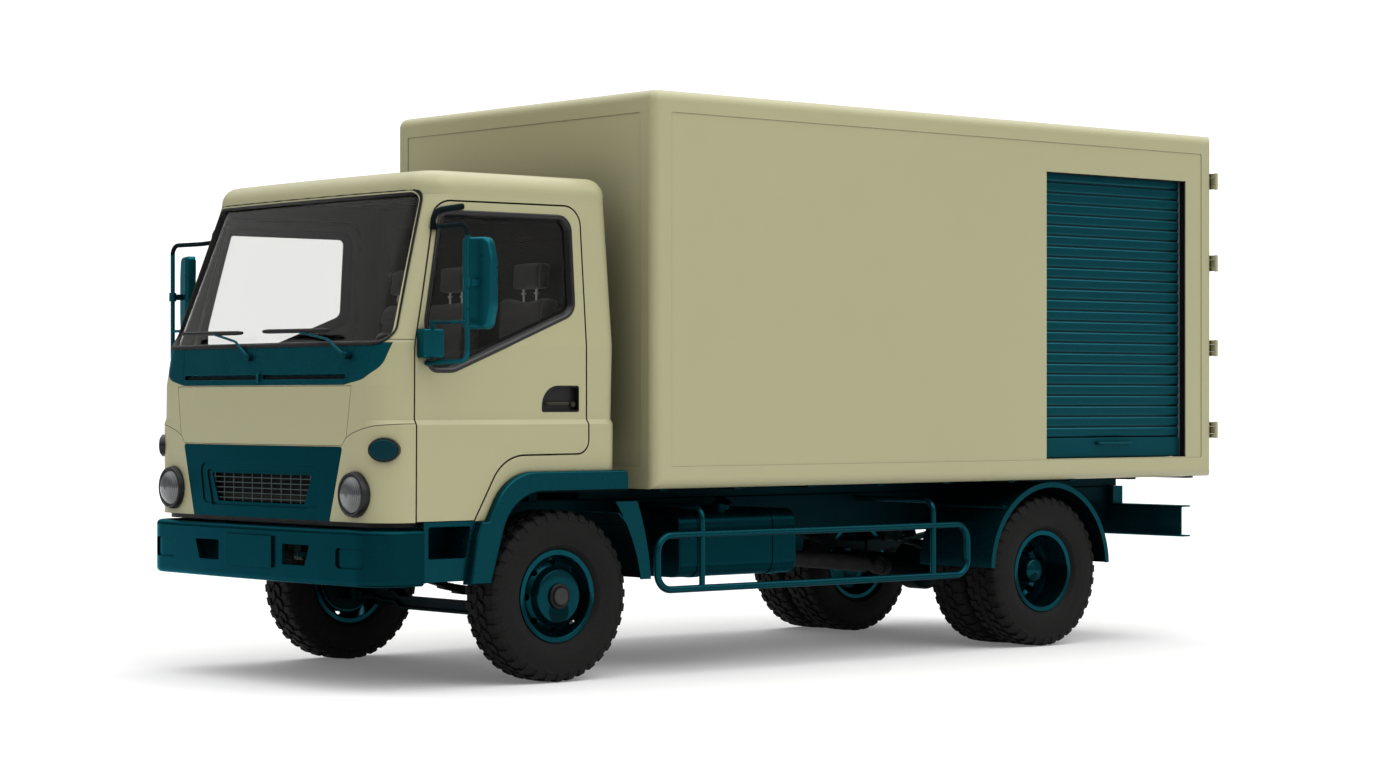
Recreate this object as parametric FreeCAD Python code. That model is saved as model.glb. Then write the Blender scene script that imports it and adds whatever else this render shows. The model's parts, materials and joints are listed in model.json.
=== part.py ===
import FreeCAD, Part
import math
import os

V = FreeCAD.Vector

# ---------------------------------------------------------------- driving dimensions (mm)
# X points to the truck's left, Y to its rear, Z up; the ground is Z = 0.
wheelbase = 3300.0
front_overhang = 1100.0        # bumper face to front axle
box_setback = 488.0            # front axle to box front wall
rear_overhang = 1260.0         # rear axle to the box's rear face
box_width = 2120.0
box_height = 1900.0
box_bottom_z = 894.0
rear_hardware = 30.0           # hinges and lock bars behind the box

tyre_radius = 402.5
tyre_width = 235.0
rim_radius = 205.7             # tyre seat
track_face = 969.0             # outer face of the outer tyres from the centre line
twin_spacing = 260.0
kingpin_inset = 126.5          # tyre centre plane to kingpin

rail_outer = 430.0
rail_height = 200.0
rail_flange = 65.0
rail_top_z = 830.0
rail_thick = 7.0

cab_width = 1946.0             # over the doors above the shoulder line
shoulder_step = 17.0           # the cab is this much wider each side below the shoulder line
cab_bottom_z = 767.0
shoulder_z = 1215.0
belt_z = 1570.0
eaves_z = 2250.0
roof_z = 2364.0
roof_edge_radius = 84.0
eaves_lean = 55.0              # the cab is this much narrower each side at the eaves than over the doors
cab_nose = 1022.0              # front axle to the cab's face at its corners
nose_bow = 20.0                # the face stands this much further forward at the centre line
cab_tail = 330.0               # front axle to the cab's rear wall
cab_corner = 160.0
cab_rear_corner = 70.0
wall = 50.0                    # cab wall and door thickness
skin = 14.0                    # outer skin of a door, which laps its inner part
door_gap = 8.0
door_inner_gap = 24.0
glass_thick = 5.0

panel = 45.0                   # box wall thickness
box_edge = 50.0                # radius of the box's edges
box_border = 105.0             # width of the corner profiles
groove = 3.0
floor_thick = 40.0
bearer_height = 75.0

running = 0.05                 # radial clearance of a shaft in its bore
seat_gap = 0.3                 # gap between pieces that rest on each other

# ---------------------------------------------------------------- places worked out from them
box_length = wheelbase - box_setback + rear_overhang
overall_length = front_overhang + wheelbase + rear_overhang + rear_hardware
front_axle_y = front_overhang - overall_length / 2
rear_axle_y = front_axle_y + wheelbase
axle_z = tyre_radius
box_front_y = front_axle_y + box_setback
box_rear_y = box_front_y + box_length
box_side_x = box_width / 2
box_top_z = box_bottom_z + box_height
bumper_face_y = front_axle_y - front_overhang
tyre_x = track_face - tyre_width / 2
inner_tyre_x = tyre_x - twin_spacing
kingpin_x = tyre_x - kingpin_inset
rail_bottom_z = rail_top_z - rail_height
floor_top_z = box_bottom_z + box_border
bearer_top_z = floor_top_z - floor_thick
bearer_bottom_z = bearer_top_z - bearer_height


def cab_y(offset):
    """Y of a place that is offset mm behind the front axle."""
    return front_axle_y + offset


# ---------------------------------------------------------------- shape helpers
def place(plane, u, v, at):
    if plane == "XY":
        return V(u, v, at)
    if plane == "YZ":
        return V(at, u, v)
    return V(u, at, v)


def corner_edges(corners):
    """Edges of a closed loop of (point, radius) corners; a radius of 0 is a sharp corner."""
    runs = []
    count = len(corners)
    for i in range(count):
        before, (here, radius), after = corners[i - 1][0], corners[i], corners[(i + 1) % count][0]
        to_before = (before - here).normalize()
        to_after = (after - here).normalize()
        if radius <= 0:
            runs.append((here, None, here))
            continue
        half = to_before.getAngle(to_after) / 2
        reach = radius / math.tan(half)
        start = here + to_before * reach
        end = here + to_after * reach
        centre = here + (to_before + to_after).normalize() * (radius / math.sin(half))
        middle = centre + (here - centre).normalize() * radius
        runs.append((start, middle, end))
    edges = []
    for i in range(count):
        start, middle, end = runs[i]
        if middle is not None:
            edges.append(Part.Arc(start, middle, end).toShape())
        following = runs[(i + 1) % count][0]
        if (following - end).Length > 1e-6:
            edges.append(Part.LineSegment(end, following).toShape())
    return edges


def outline(points, plane, at=0.0):
    """Closed wire through (u, v, corner radius) points."""
    return Part.Wire(corner_edges([(place(plane, u, v, at), r) for u, v, r in points]))


def prism(points, plane, start, end):
    """The outline pushed from start to end along the plane's normal."""
    push = {"XY": V(0, 0, 1), "YZ": V(1, 0, 0), "XZ": V(0, 1, 0)}[plane] * (end - start)
    return Part.Face(outline(points, plane, start)).extrude(push)


def offset_prism(points, plane, start, end, offset):
    push = {"XY": V(0, 0, 1), "YZ": V(1, 0, 0), "XZ": V(0, 1, 0)}[plane] * (end - start)
    wire = outline(points, plane, start)
    moved = wire.makeOffset2D(offset)
    return Part.Face(moved).extrude(push)


def block(x, y, z):
    """Box between the low and high value given for each axis."""
    return Part.makeBox(x[1] - x[0], y[1] - y[0], z[1] - z[0], V(x[0], y[0], z[0]))


def rod(a, b, radius):
    return Part.makeCylinder(radius, (b - a).Length, a, b - a)


def bent_tube(points, radius):
    """Round tube along open (x, y, z, bend radius) points."""
    corners = [(V(x, y, z), r) for x, y, z, r in points]
    edges = []
    last = corners[0][0]
    for i in range(1, len(corners) - 1):
        here, bend = corners[i]
        to_before = (corners[i - 1][0] - here).normalize()
        to_after = (corners[i + 1][0] - here).normalize()
        half = to_before.getAngle(to_after) / 2
        start = here + to_before * (bend / math.tan(half))
        end = here + to_after * (bend / math.tan(half))
        centre = here + (to_before + to_after).normalize() * (bend / math.sin(half))
        if (start - last).Length > 1e-6:
            edges.append(Part.LineSegment(last, start).toShape())
        edges.append(Part.Arc(start, centre + (here - centre).normalize() * bend, end).toShape())
        last = end
    edges.append(Part.LineSegment(last, corners[-1][0]).toShape())
    path = Part.Wire(edges)
    first = corners[0][0]
    section = Part.Wire([Part.Circle(first, corners[1][0] - first, radius).toShape()])
    return path.makePipeShell([section], True, False)


def turned(points, centre, axis=V(1, 0, 0)):
    """Solid of revolution about a line along X: (x, r, corner radius) points, moved to centre."""
    face = Part.Face(outline(points, "XZ"))
    solid = face.revolve(V(0, 0, 0), axis, 360)
    solid.translate(centre)
    return solid


def fuse(shapes):
    first = shapes[0]
    if len(shapes) == 1:
        return first
    return first.multiFuse(shapes[1:]).removeSplitter()


def mirrored(shape):
    return shape.mirror(V(0, 0, 0), V(1, 0, 0))


def both_sides(shape):
    return [shape, mirrored(shape)]


def largest_solids(shape, least=1000.0):
    """The shape without slivers under the given volume."""
    kept = [s for s in shape.Solids if s.Volume > least]
    return kept[0] if len(kept) == 1 else Part.makeCompound(kept)


# ---------------------------------------------------------------- chassis
pivot_y = cab_y(-985)           # the cab tips forward about this line
pivot_z = 790.0
pivot_pin = 14.0
fork_head = 24.0
fork_plate = 12.0
fork_x = (rail_outer - rail_flange, rail_outer)
tow_eye_x = 322.0
tow_eye_y = cab_y(-990)
tow_eye_z = 607.0
tow_bore = 17.5
tow_plate = 22.0
cross_y = [cab_y(-880), cab_y(1080), cab_y(1800), cab_y(2650), cab_y(3750)]
rail_front_y = cab_y(-950)
rail_rear_y = box_rear_y - 170


def c_section(outer, height, flange, thick, top):
    """C profile in XZ, open towards the centre line."""
    low = top - height
    return [(outer, low, 8), (outer, top, 8), (outer - flange, top, 0), (outer - flange, top - thick, 0),
            (outer - thick, top - thick, 5), (outer - thick, low + thick, 5), (outer - flange, low + thick,
                                                                               0),
            (outer - flange, low, 0)]


def chassis_rails():
    """Rails with a fork at the front end of each, in which the cab's pivot pin turns."""
    rail = prism(c_section(rail_outer, rail_height, rail_flange, rail_thick, rail_top_z), "XZ", rail_front_y,
                 rail_rear_y)
    plates = []
    for x in (fork_x[0], fork_x[1] - fork_plate):
        head = rod(V(x, pivot_y, pivot_z), V(x + fork_plate, pivot_y, pivot_z), fork_head)
        stem = block((x, x + fork_plate), (pivot_y, rail_front_y + 15), (pivot_z - fork_head + 2, rail_top_z))
        plates += [head, stem]
    bore = rod(V(fork_x[0] - 5, pivot_y, pivot_z), V(fork_x[1] + 5, pivot_y, pivot_z), pivot_pin + running)
    return both_sides(fuse([rail] + plates).cut(bore))


def crossmembers():
    """Channels between the rails' webs, inside their flanges."""
    reach = rail_outer - rail_thick - seat_gap
    low = rail_bottom_z + rail_thick + seat_gap
    high = rail_top_z - rail_thick - seat_gap
    beams = []
    for y in cross_y:
        web = block((-reach, reach), (y - 30, y - 24), (low + 20, high - 20))
        flanges = [block((-reach, reach), (y - 30, y + 30), (z, z + 6)) for z in (low + 20, high - 26)]
        plates = [block((s * reach - 6 if s > 0 else -reach, s * reach if s > 0 else -reach + 6),
                        (y - 45, y + 45),
                        (low + 6, high - 6)) for s in (1, -1)]
        beams.append(fuse([web] + flanges + plates))
    beams[0] = beams[0].multiFuse([tow_eye(s * tow_eye_x) for s in (1, -1)])
    return beams


def tow_eye(x):
    """Tongue with an upright bore for a towing pin, behind the bumper's opening, on a gusset of the crossmember."""
    back = cross_y[0] - 24
    half = 38
    tongue = prism([(x - half, tow_eye_y - half, half - 1), (x + half, tow_eye_y - half, half - 1),
                    (x + half, back, 0),
                    (x - half, back, 0)], "XY", tow_eye_z - tow_plate / 2, tow_eye_z + tow_plate / 2)
    heel = block((x - half, x + half), (back - 10, back), (tow_eye_z, rail_bottom_z + 60))
    gusset = prism([(tow_eye_y + 40, tow_eye_z, 0), (back - 20, rail_bottom_z + 60, 0),
                    (back, rail_bottom_z + 60, 0),
                    (back, tow_eye_z, 0)], "YZ", x - 6, x + 6)
    return fuse([tongue, heel, gusset]).cut(rod(V(x, tow_eye_y, tow_eye_z - 50),
                                                V(x, tow_eye_y, tow_eye_z + 50), tow_bore))


def leaf_pack(axle_y, half_span, seat_z, end_z, leaves, hang_x):
    """Bowed leaves, each shorter than the one above, with eyes and the brackets that hold them to the rail."""
    thick = 9.0
    rise = end_z - seat_z - leaves * thick
    pieces = []
    for i in range(leaves):
        reach = half_span * (1 - 0.16 * i)
        share = (reach / half_span) ** 2
        low = seat_z + (leaves - 1 - i) * thick
        a, b, c = V(0, axle_y - reach, low + rise * share), V(0, axle_y, low), V(0, axle_y + reach,
                                                                                 low + rise * share)
        up = V(0, 0, thick)
        edges = [Part.Arc(a, b, c).toShape(), Part.LineSegment(c, c + up).toShape(),
                 Part.Arc(c + up, b + up, a + up).toShape(), Part.LineSegment(a + up, a).toShape()]
        leaf = Part.Face(Part.Wire(edges)).extrude(V(60, 0, 0))
        leaf.translate(V(hang_x - 30, 0, 0))
        pieces.append(leaf)
    for sign in (-1, 1):
        y = axle_y + sign * half_span
        z = seat_z + (leaves - 1) * thick + rise
        pieces.append(rod(V(hang_x - 34, y, z + 8), V(hang_x + 34, y, z + 8), 22))
        hanger = block((hang_x - 30, hang_x + 30), (y - 22, y + 22), (z + 8, rail_bottom_z))
        pieces.append(hanger)
    clamp = block((hang_x - 38, hang_x + 38), (axle_y - 55, axle_y + 55),
                  (seat_z, seat_z + leaves * thick + 10))
    pieces.append(clamp)
    return fuse(pieces)


spring_x = rail_outer - rail_flange / 2
front_spring_seat = axle_z - 22
rear_tube_radius = 55.0
rear_spring_seat = axle_z + rear_tube_radius + 6


def leaf_springs():
    front = leaf_pack(front_axle_y, 540, front_spring_seat, 560, 5, spring_x)
    rear = leaf_pack(rear_axle_y, 600, rear_spring_seat, 585, 6, spring_x)
    return both_sides(front) + both_sides(rear)


def front_axle():
    """Dropped I beam between the kingpin bosses, with pads under the springs."""
    top = front_spring_seat
    deep = 62.0
    boss_z = (axle_z - 70, axle_z + 70)
    half = [(0, top - 36), (spring_x - 100, top - 36), (spring_x - 55, top - 8), (spring_x + 50, top - 8),
            (kingpin_x - 30, axle_z + 20)]
    upper = [(x, z, 0) for x, z in half]
    lower = [(x, z - deep, 0) for x, z in reversed(half)]
    web = prism(upper + lower, "XZ", front_axle_y - 9, front_axle_y + 9)
    flanges = []
    for z in (0, deep - 12):
        up = [(x, v - z, 0) for x, v in half]
        down = [(x, v - z - 12, 0) for x, v in reversed(half)]
        flanges.append(prism(up + down, "XZ", front_axle_y - 32, front_axle_y + 32))
    pad = block((spring_x - 38, spring_x + 38), (front_axle_y - 55, front_axle_y + 55),
                (top - 14, top - seat_gap))
    boss = rod(V(kingpin_x, front_axle_y, boss_z[0]), V(kingpin_x, front_axle_y, boss_z[1]), 34)
    bore = rod(V(kingpin_x, front_axle_y, boss_z[0] - 5), V(kingpin_x, front_axle_y, boss_z[1] + 5),
               16 + running)
    left = fuse([web] + flanges + [pad, boss]).cut(bore)
    keep = block((-1000, 1000), (front_axle_y - 300, front_axle_y + 300), (0, 1000))
    return [fuse([left.common(keep), mirrored(left)])]


def rear_axle():
    """Banjo housing, axle tubes with spring pads, and the spindles that carry the twin wheels."""
    centre = V(0, rear_axle_y, axle_z)
    banjo = turned([(-110, 0, 0), (-110, 60, 10), (-70, 138, 30), (70, 138, 30), (110, 60, 10), (110, 0, 0)],
                   centre)
    nose = Part.makeCone(95, 52, 200, V(0, rear_axle_y - 60, axle_z), V(0, -1, 0))
    tube = rod(V(-hub_inner_x, rear_axle_y, axle_z), V(hub_inner_x, rear_axle_y, axle_z), rear_tube_radius)
    spindle = rod(V(-rear_spindle_end, rear_axle_y, axle_z), V(rear_spindle_end, rear_axle_y, axle_z), 35)
    pads = [block((s * spring_x - 38, s * spring_x + 38), (rear_axle_y - 55, rear_axle_y + 55),
                  (axle_z, rear_spring_seat - seat_gap)) for s in (1, -1)]
    return [fuse([banjo, nose, tube, spindle] + pads)]


engine_rear_y = cab_y(190)
gearbox_rear_y = cab_y(980)


def engine():
    body = prism([(-210, 440, 40), (-250, 640, 20), (-250, 960, 60), (-120, 1030, 20), (120, 1030, 20),
                  (250, 960, 60),
                  (250, 640, 20), (210, 440, 40)], "XZ", cab_y(-420), engine_rear_y)
    bell = Part.makeCone(190, 120, 160, V(0, engine_rear_y, 600), V(0, 1, 0))
    gearbox = block((-115, 115), (engine_rear_y + 120, gearbox_rear_y), (485, 700))
    mounts = [block((-rail_outer + rail_thick + seat_gap, rail_outer - rail_thick - seat_gap),
                    (y - 30, y + 30), (655, 700))
              for y in (cab_y(-100), cab_y(820))]
    return [fuse([body, bell, gearbox] + mounts)]


def driveshaft():
    front = V(0, gearbox_rear_y + seat_gap, 590)
    rear = V(0, rear_axle_y - 260 - seat_gap, axle_z)
    along = (rear - front).normalize()
    ends = [rod(front, front + V(0, 40, 0), 62), rod(rear - V(0, 40, 0), rear, 50)]
    joints = [Part.makeSphere(46, front + V(0, 70, 0)), Part.makeSphere(46, rear - V(0, 70, 0))]
    shaft = rod(front + V(0, 40, 0), rear - V(0, 40, 0), 30)
    tube = rod(front + along * 160, rear - along * 160, 44)
    return [fuse(ends + joints + [shaft, tube])]


def exhaust():
    """Silencer behind the battery box with its inlet and tail pipes and a hanger on the rail."""
    x = -640.0
    z = 560.0
    y0, y1 = cab_y(1720), cab_y(2230)
    can = Part.makeCylinder(95, y1 - y0, V(x, y0, z), V(0, 1, 0))
    can = can.makeFillet(20, can.Edges[0:1] + can.Edges[2:3])
    inlet = bent_tube([(x, y0 + 20, z, 0), (x, y0 - 160, z, 90), (-300, y0 - 420, 560, 90),
                       (-300, cab_y(500), 560, 0)], 26)
    tail = bent_tube([(x, y1 - 20, z, 0), (x, y1 + 240, z, 110), (x - 330, y1 + 420, z - 60, 0)], 26)
    hangers = [block((x - 8, -rail_outer - seat_gap), (y - 15, y + 15), (z + 80, z + 110)) for y in (y0 + 90,
                                                                                                     y1 - 90)]
    return [fuse([can, inlet, tail] + hangers)]


tank_y = (cab_y(790), cab_y(1560))
tank_x = (rail_outer + 25, 885.0)
tank_z = (454.0, 776.0)


def carried_box(y, x, z, radius, strap_y):
    """Rounded tank, two straps round it and the brackets that hold it to the rail."""
    shell = [(x[0], z[0], radius), (x[1], z[0], radius), (x[1], z[1], radius), (x[0], z[1], radius)]
    tank = prism(shell, "XZ", y[0], y[1])
    tank = tank.makeFillet(12, [e for e in tank.Edges if e.BoundBox.YLength < 1])
    straps = []
    for at in strap_y:
        ring = offset_prism(shell, "XZ", at - 22, at + 22, 4).cut(offset_prism(shell, "XZ", at - 30, at + 30,
                                                                               -4))
        straps.append(ring)
        straps.append(block((rail_outer + seat_gap, x[0] + 10), (at - 25, at + 25),
                            (rail_bottom_z, z[1] - 30)))
    return fuse([tank] + straps)


def fuel_tank():
    tank = carried_box(tank_y, tank_x, tank_z, 70, (tank_y[0] + 140, tank_y[1] - 140))
    neck = rod(V(tank_x[1] - 60, tank_y[0] + 300, tank_z[1] - 10),
               V(tank_x[1] - 30, tank_y[0] + 300, tank_z[1] + 30), 32)
    cap = rod(V(tank_x[1] - 33, tank_y[0] + 300, tank_z[1] + 25),
              V(tank_x[1] - 20, tank_y[0] + 300, tank_z[1] + 47), 42)
    return [fuse([tank, neck, cap])]


def battery_box():
    tank = carried_box((tank_y[0], tank_y[0] + 520), (rail_outer + 25, 860), (500, 760), 20,
                       (tank_y[0] + 120, tank_y[0] + 400))
    lid = block((rail_outer + 40, 868), (tank_y[0] - 8, tank_y[0] + 528), (736, 775))
    lid = lid.makeFillet(10, [e for e in lid.Edges if e.BoundBox.ZMin > 770])
    return [mirrored(fuse([tank, lid]))]


guard_x = 1000.0
guard_tube = 17.5
guard_y = (cab_y(557), cab_y(2659))
guard_z = (410.0, 670.0)


def side_guards():
    """Closed loop of tube on each side, on two posts that bend inwards to the rail."""
    y0, y1 = guard_y
    z0, z1 = guard_z
    middle = (y0 + y1) / 2
    upper = bent_tube([(guard_x, middle, z1, 0), (guard_x, y0, z1, 80), (guard_x, y0, z0, 80),
                       (guard_x, middle, z0, 0)],
                      guard_tube)
    lower = bent_tube([(guard_x, middle, z1, 0), (guard_x, y1, z1, 80), (guard_x, y1, z0, 80),
                       (guard_x, middle, z0, 0)],
                      guard_tube)
    posts = []
    for y in (y0 + 280, y1 - 250):
        posts.append(bent_tube([(guard_x, y, z0, 0), (guard_x, y, 800, 60),
                                (rail_outer + seat_gap, y, 800, 0)], 15))
    return both_sides(fuse([upper, lower] + posts))


bumper_half = 993.0
bumper_z = (480.0, 735.0)


def plan_nose(half, face, bow, corner, back, inset=0.0):
    """Plan of a piece with a bowed face, round front corners and a straight back edge, as edges in XY at Z = 0."""
    half -= inset
    face += inset
    corner = max(corner - inset, 5)
    left = V(half - corner, face, 0)
    right = V(-half + corner, face, 0)
    swing = corner * (1 - math.sqrt(0.5))
    edges = [Part.Arc(right, V(0, face - bow, 0), left).toShape(),
             Part.Arc(left, V(half - swing, face + swing, 0), V(half, face + corner, 0)).toShape(),
             Part.LineSegment(V(half, face + corner, 0), V(half, back, 0)).toShape(),
             Part.LineSegment(V(half, back, 0), V(-half, back, 0)).toShape(),
             Part.LineSegment(V(-half, back, 0), V(-half, face + corner, 0)).toShape(),
             Part.Arc(V(-half, face + corner, 0), V(-half + swing, face + swing, 0), right).toShape()]
    return Part.Wire(edges)


bumper_wall = 18.0
bumper_corner = 170.0
bumper_bow = 22.0
number_plate_proud = 11.0
tow_opening = [(272, 562, 8), (272, 657, 8), (490, 657, 8), (452, 562, 8)]
fog_imprint = [(690, 560, 22), (690, 652, 22), (892, 652, 22), (892, 560, 22)]
fog_depth = 11.0


def front_bumper():
    """Hollow bumper with wrapped ends, two tow openings, a raised centre and shallow blanks for fog lamps."""
    low, high = bumper_z
    face = bumper_face_y + bumper_bow + number_plate_proud
    back = cab_y(-800)

    def plan(inset, z0, z1, reach=0.0):
        solid = Part.Face(plan_nose(bumper_half, face, bumper_bow, bumper_corner, back + reach,
                                    inset)).extrude(V(0, 0, z1 - z0))
        solid.translate(V(0, 0, z0))
        return solid

    outer = plan(0, low, high)
    rims = [e for e in outer.Edges if e.BoundBox.ZLength < 1 and e.BoundBox.YMin < back - 1]
    outer = outer.makeFillet(22, rims)
    shell = outer.cut(plan(bumper_wall, low + bumper_wall, high - bumper_wall, 50))
    shell = shell.cut(plan(45, low - 10, high + 10, 50))
    skin_only = plan(0, low, high).cut(plan(fog_depth, low - 10, high + 10, 50))
    for s in (1, -1):
        opening, imprint = ([(s * x, z, r) for x, z, r in points] for points in (tow_opening, fog_imprint))
        shell = shell.cut(prism(opening, "XZ", bumper_face_y - 20, face + 60))
        shell = shell.cut(prism(imprint, "XZ", bumper_face_y - 20, back).common(skin_only))
    centre = prism([(-200, 543, 8), (-200, 690, 8), (200, 690, 8), (200, 543, 8)], "XZ", bumper_face_y, face)
    brackets = []
    for s in (1, -1):
        x0, x1 = sorted((s * (rail_outer - 55), s * (rail_outer - 10)))
        brackets.append(block((x0, x1), (face - 4, rail_front_y - seat_gap), (664, 704)))
    return [fuse([shell, centre] + brackets)]


underrun_y = (rail_rear_y + seat_gap, rail_rear_y + 80)
underrun_z = (555.0, 730.0)
underrun_plate = 9.0


def rear_underrun_bar():
    y0, y1 = underrun_y
    z0, z1 = underrun_z
    t = underrun_plate
    channel = [(y0, z0, 12), (y0, z1, 12), (y1, z1, 0), (y1, z1 - t, 0), (y0 + t, z1 - t, 7),
               (y0 + t, z0 + t, 7),
               (y1, z0 + t, 0), (y1, z0, 0)]
    bar = prism(channel, "YZ", -970, 970)
    plates = [block((s * rail_outer - 40, s * rail_outer + 40), (y0, y1),
                    (z1 - 1, rail_top_z - 1)) for s in (1, -1)]
    return [fuse([bar] + plates)]


def tail_lamps():
    """Lamps that lie inside the rear bar's channel."""
    y0, y1 = underrun_y[0] + underrun_plate + seat_gap, underrun_y[1] - 3
    lamp = block((640, 900), (y0, y1), (underrun_z[0] + 25, underrun_z[1] - 25))
    return both_sides(lamp.makeFillet(12, [e for e in lamp.Edges if e.BoundBox.YMax > y1 - 1]))


guard_radius = 460.0
guard_centre_z = 420.0


def arc_band(centre_y, centre_z, outer, thick, start, end, x0, x1):
    """Curved plate about a line along X, from start to end degrees measured from +Y towards +Z."""
    def at(radius, angle):
        turn = math.radians(angle)
        return V(x0, centre_y + radius * math.cos(turn), centre_z + radius * math.sin(turn))
    inner = outer - thick
    middle = (start + end) / 2
    edges = [Part.Arc(at(outer, start), at(outer, middle), at(outer, end)).toShape(),
             Part.LineSegment(at(outer, end), at(inner, end)).toShape(),
             Part.Arc(at(inner, end), at(inner, middle), at(inner, start)).toShape(),
             Part.LineSegment(at(inner, start), at(outer, start)).toShape()]
    return Part.Face(Part.Wire(edges)).extrude(V(x1 - x0, 0, 0))


def mudguards():
    """Half-round guards over the twin wheels, and quarter guards with a tapered flange behind the front wheels."""
    inner_x = inner_tyre_x - tyre_width / 2 - 5
    rear = [arc_band(rear_axle_y, guard_centre_z, guard_radius, 6, 2, 178, inner_x, guard_x),
            arc_band(rear_axle_y, guard_centre_z, guard_radius, 28, 2, 178, guard_x - 6, guard_x)]
    for sign in (-1, 1):
        y = rear_axle_y + sign * guard_radius * math.sqrt(0.5)
        z = guard_centre_z + guard_radius * math.sqrt(0.5) + 6
        rear.append(rod(V(rail_outer + seat_gap, y, z), V(guard_x - 30, y, z), 12))
    a, b, c = (V(guard_x - 8, cab_y(y), z) for y, z in ((433, 838), (480, 690), (517, 466)))
    p, q, r = (V(guard_x - 8, cab_y(y), z) for y, z in ((455, 466), (405, 650), (300, 838)))
    edges = [Part.Arc(a, b, c).toShape(), Part.LineSegment(c, p).toShape(), Part.Arc(p, q, r).toShape(),
             Part.LineSegment(r, a).toShape()]
    front = [arc_band(front_axle_y, axle_z, 500, 7, 8, 50, 700, guard_x),
             Part.Face(Part.Wire(edges)).extrude(V(8, 0, 0))]
    y = front_axle_y + 500 * math.cos(math.radians(40))
    z = axle_z + 500 * math.sin(math.radians(40)) + 4
    front.append(rod(V(rail_outer + seat_gap, y, z), V(guard_x - 30, y, z), 12))
    return both_sides(fuse(rear)) + both_sides(fuse(front))


# ---------------------------------------------------------------- box body
door_top_z = box_top_z - 100
door_sill_z = floor_top_z
portal_y = box_rear_y - 95
portal_half = box_side_x - 60


def box_master():
    """Whole outside of the box with its round edges."""
    solid = block((-box_side_x, box_side_x), (box_front_y, box_rear_y), (box_bottom_z, box_top_z))
    rounded = [e for e in solid.Edges if e.BoundBox.YMin < box_rear_y - 1 or e.BoundBox.ZLength > 1]
    rounded = [e for e in rounded if not (e.BoundBox.XLength > 1 and e.BoundBox.ZMax < box_bottom_z + 1)]
    return solid.makeFillet(box_edge, rounded)


shutter_y = (box_front_y + 2715, box_front_y + 3841)
shutter_z = (1005.0, 2532.0)


def box_walls():
    """The box split into its walls where the panels meet; each panel lies a groove below its corner profiles."""
    master = box_master()
    far = 5000.0
    inner_x = box_side_x - panel
    roof_low = box_top_z - panel
    y0, y1 = box_front_y + panel, portal_y
    low, high = box_bottom_z + box_border, box_top_z - box_border
    front_y, rear_y = box_front_y + box_border, portal_y - 5

    def slab(x, y, z):
        return master.common(block(x, y, z))

    side = slab((inner_x, far), (-far, y1), (0, far))
    side = side.cut(prism([(front_y, low, 12), (rear_y, low, 12), (rear_y, high, 12), (front_y, high, 12)],
                          "YZ",
                          box_side_x - groove, box_side_x + 1))
    left = side.cut(block((0, far), shutter_y, shutter_z))
    front = slab((-inner_x, inner_x), (-far, y0), (0, far))
    border_x = box_side_x - box_border
    front = front.cut(prism([(-border_x, low, 12), (border_x, low, 12), (border_x, high, 12),
                             (-border_x, high, 12)],
                            "XZ", box_front_y - 1, box_front_y + groove))
    roof = slab((-inner_x, inner_x), (y0, y1), (roof_low, far))
    roof = roof.cut(prism([(-border_x, front_y, 12), (border_x, front_y, 12), (border_x, rear_y, 12),
                           (-border_x, rear_y, 12)], "XY", box_top_z - groove, box_top_z + 1))
    opening = block((-portal_half, portal_half), (-far, far), (door_sill_z, door_top_z))
    portal = slab((-far, far), (y1, far), (0, far)).cut(opening)
    ears = hinge_ears()
    portal = fuse([portal] + ears + [mirrored(ear) for ear in ears])
    return {"box_side_left": [left], "box_side_right": [mirrored(side)], "box_front_wall": [front],
            "box_roof": [roof], "rear_portal": [portal]}


slat_pitch = 57.0
curtain_thick = 14.0
curtain_face_x = box_side_x - panel - 1
guide_thick = 14.0
guide_wrap = 30.0               # the guides reach this far past the shutter opening's edges
guide_back_x = curtain_face_x - curtain_thick - seat_gap


def box_floor():
    """Deck, cut back at the shutter's guides, on cross bearers and two runners that sit on the chassis rails."""
    inner_x = box_side_x - panel
    deck = block((-inner_x, inner_x), (box_front_y + panel, portal_y), (bearer_top_z, floor_top_z))
    deck = deck.cut(block((guide_back_x - guide_thick - 5, inner_x + 1),
                          (shutter_y[0] - guide_wrap - 5, shutter_y[1] + guide_wrap + 5), (bearer_top_z - 1,
                                                                                           floor_top_z + 1)))
    count = 9
    step = (portal_y - box_front_y - panel - 100) / (count - 1)
    bearers = []
    for i in range(count):
        y = box_front_y + panel + 50 + i * step
        bearers.append(block((-inner_x, inner_x), (y - 25, y + 25), (bearer_bottom_z, bearer_top_z)))
    runners = [block((s * (rail_outer - 35) - 30, s * (rail_outer - 35) + 30),
                     (box_front_y + panel, portal_y),
                     (rail_top_z, bearer_bottom_z)) for s in (1, -1)]
    return [fuse([deck] + bearers + runners)]


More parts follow.
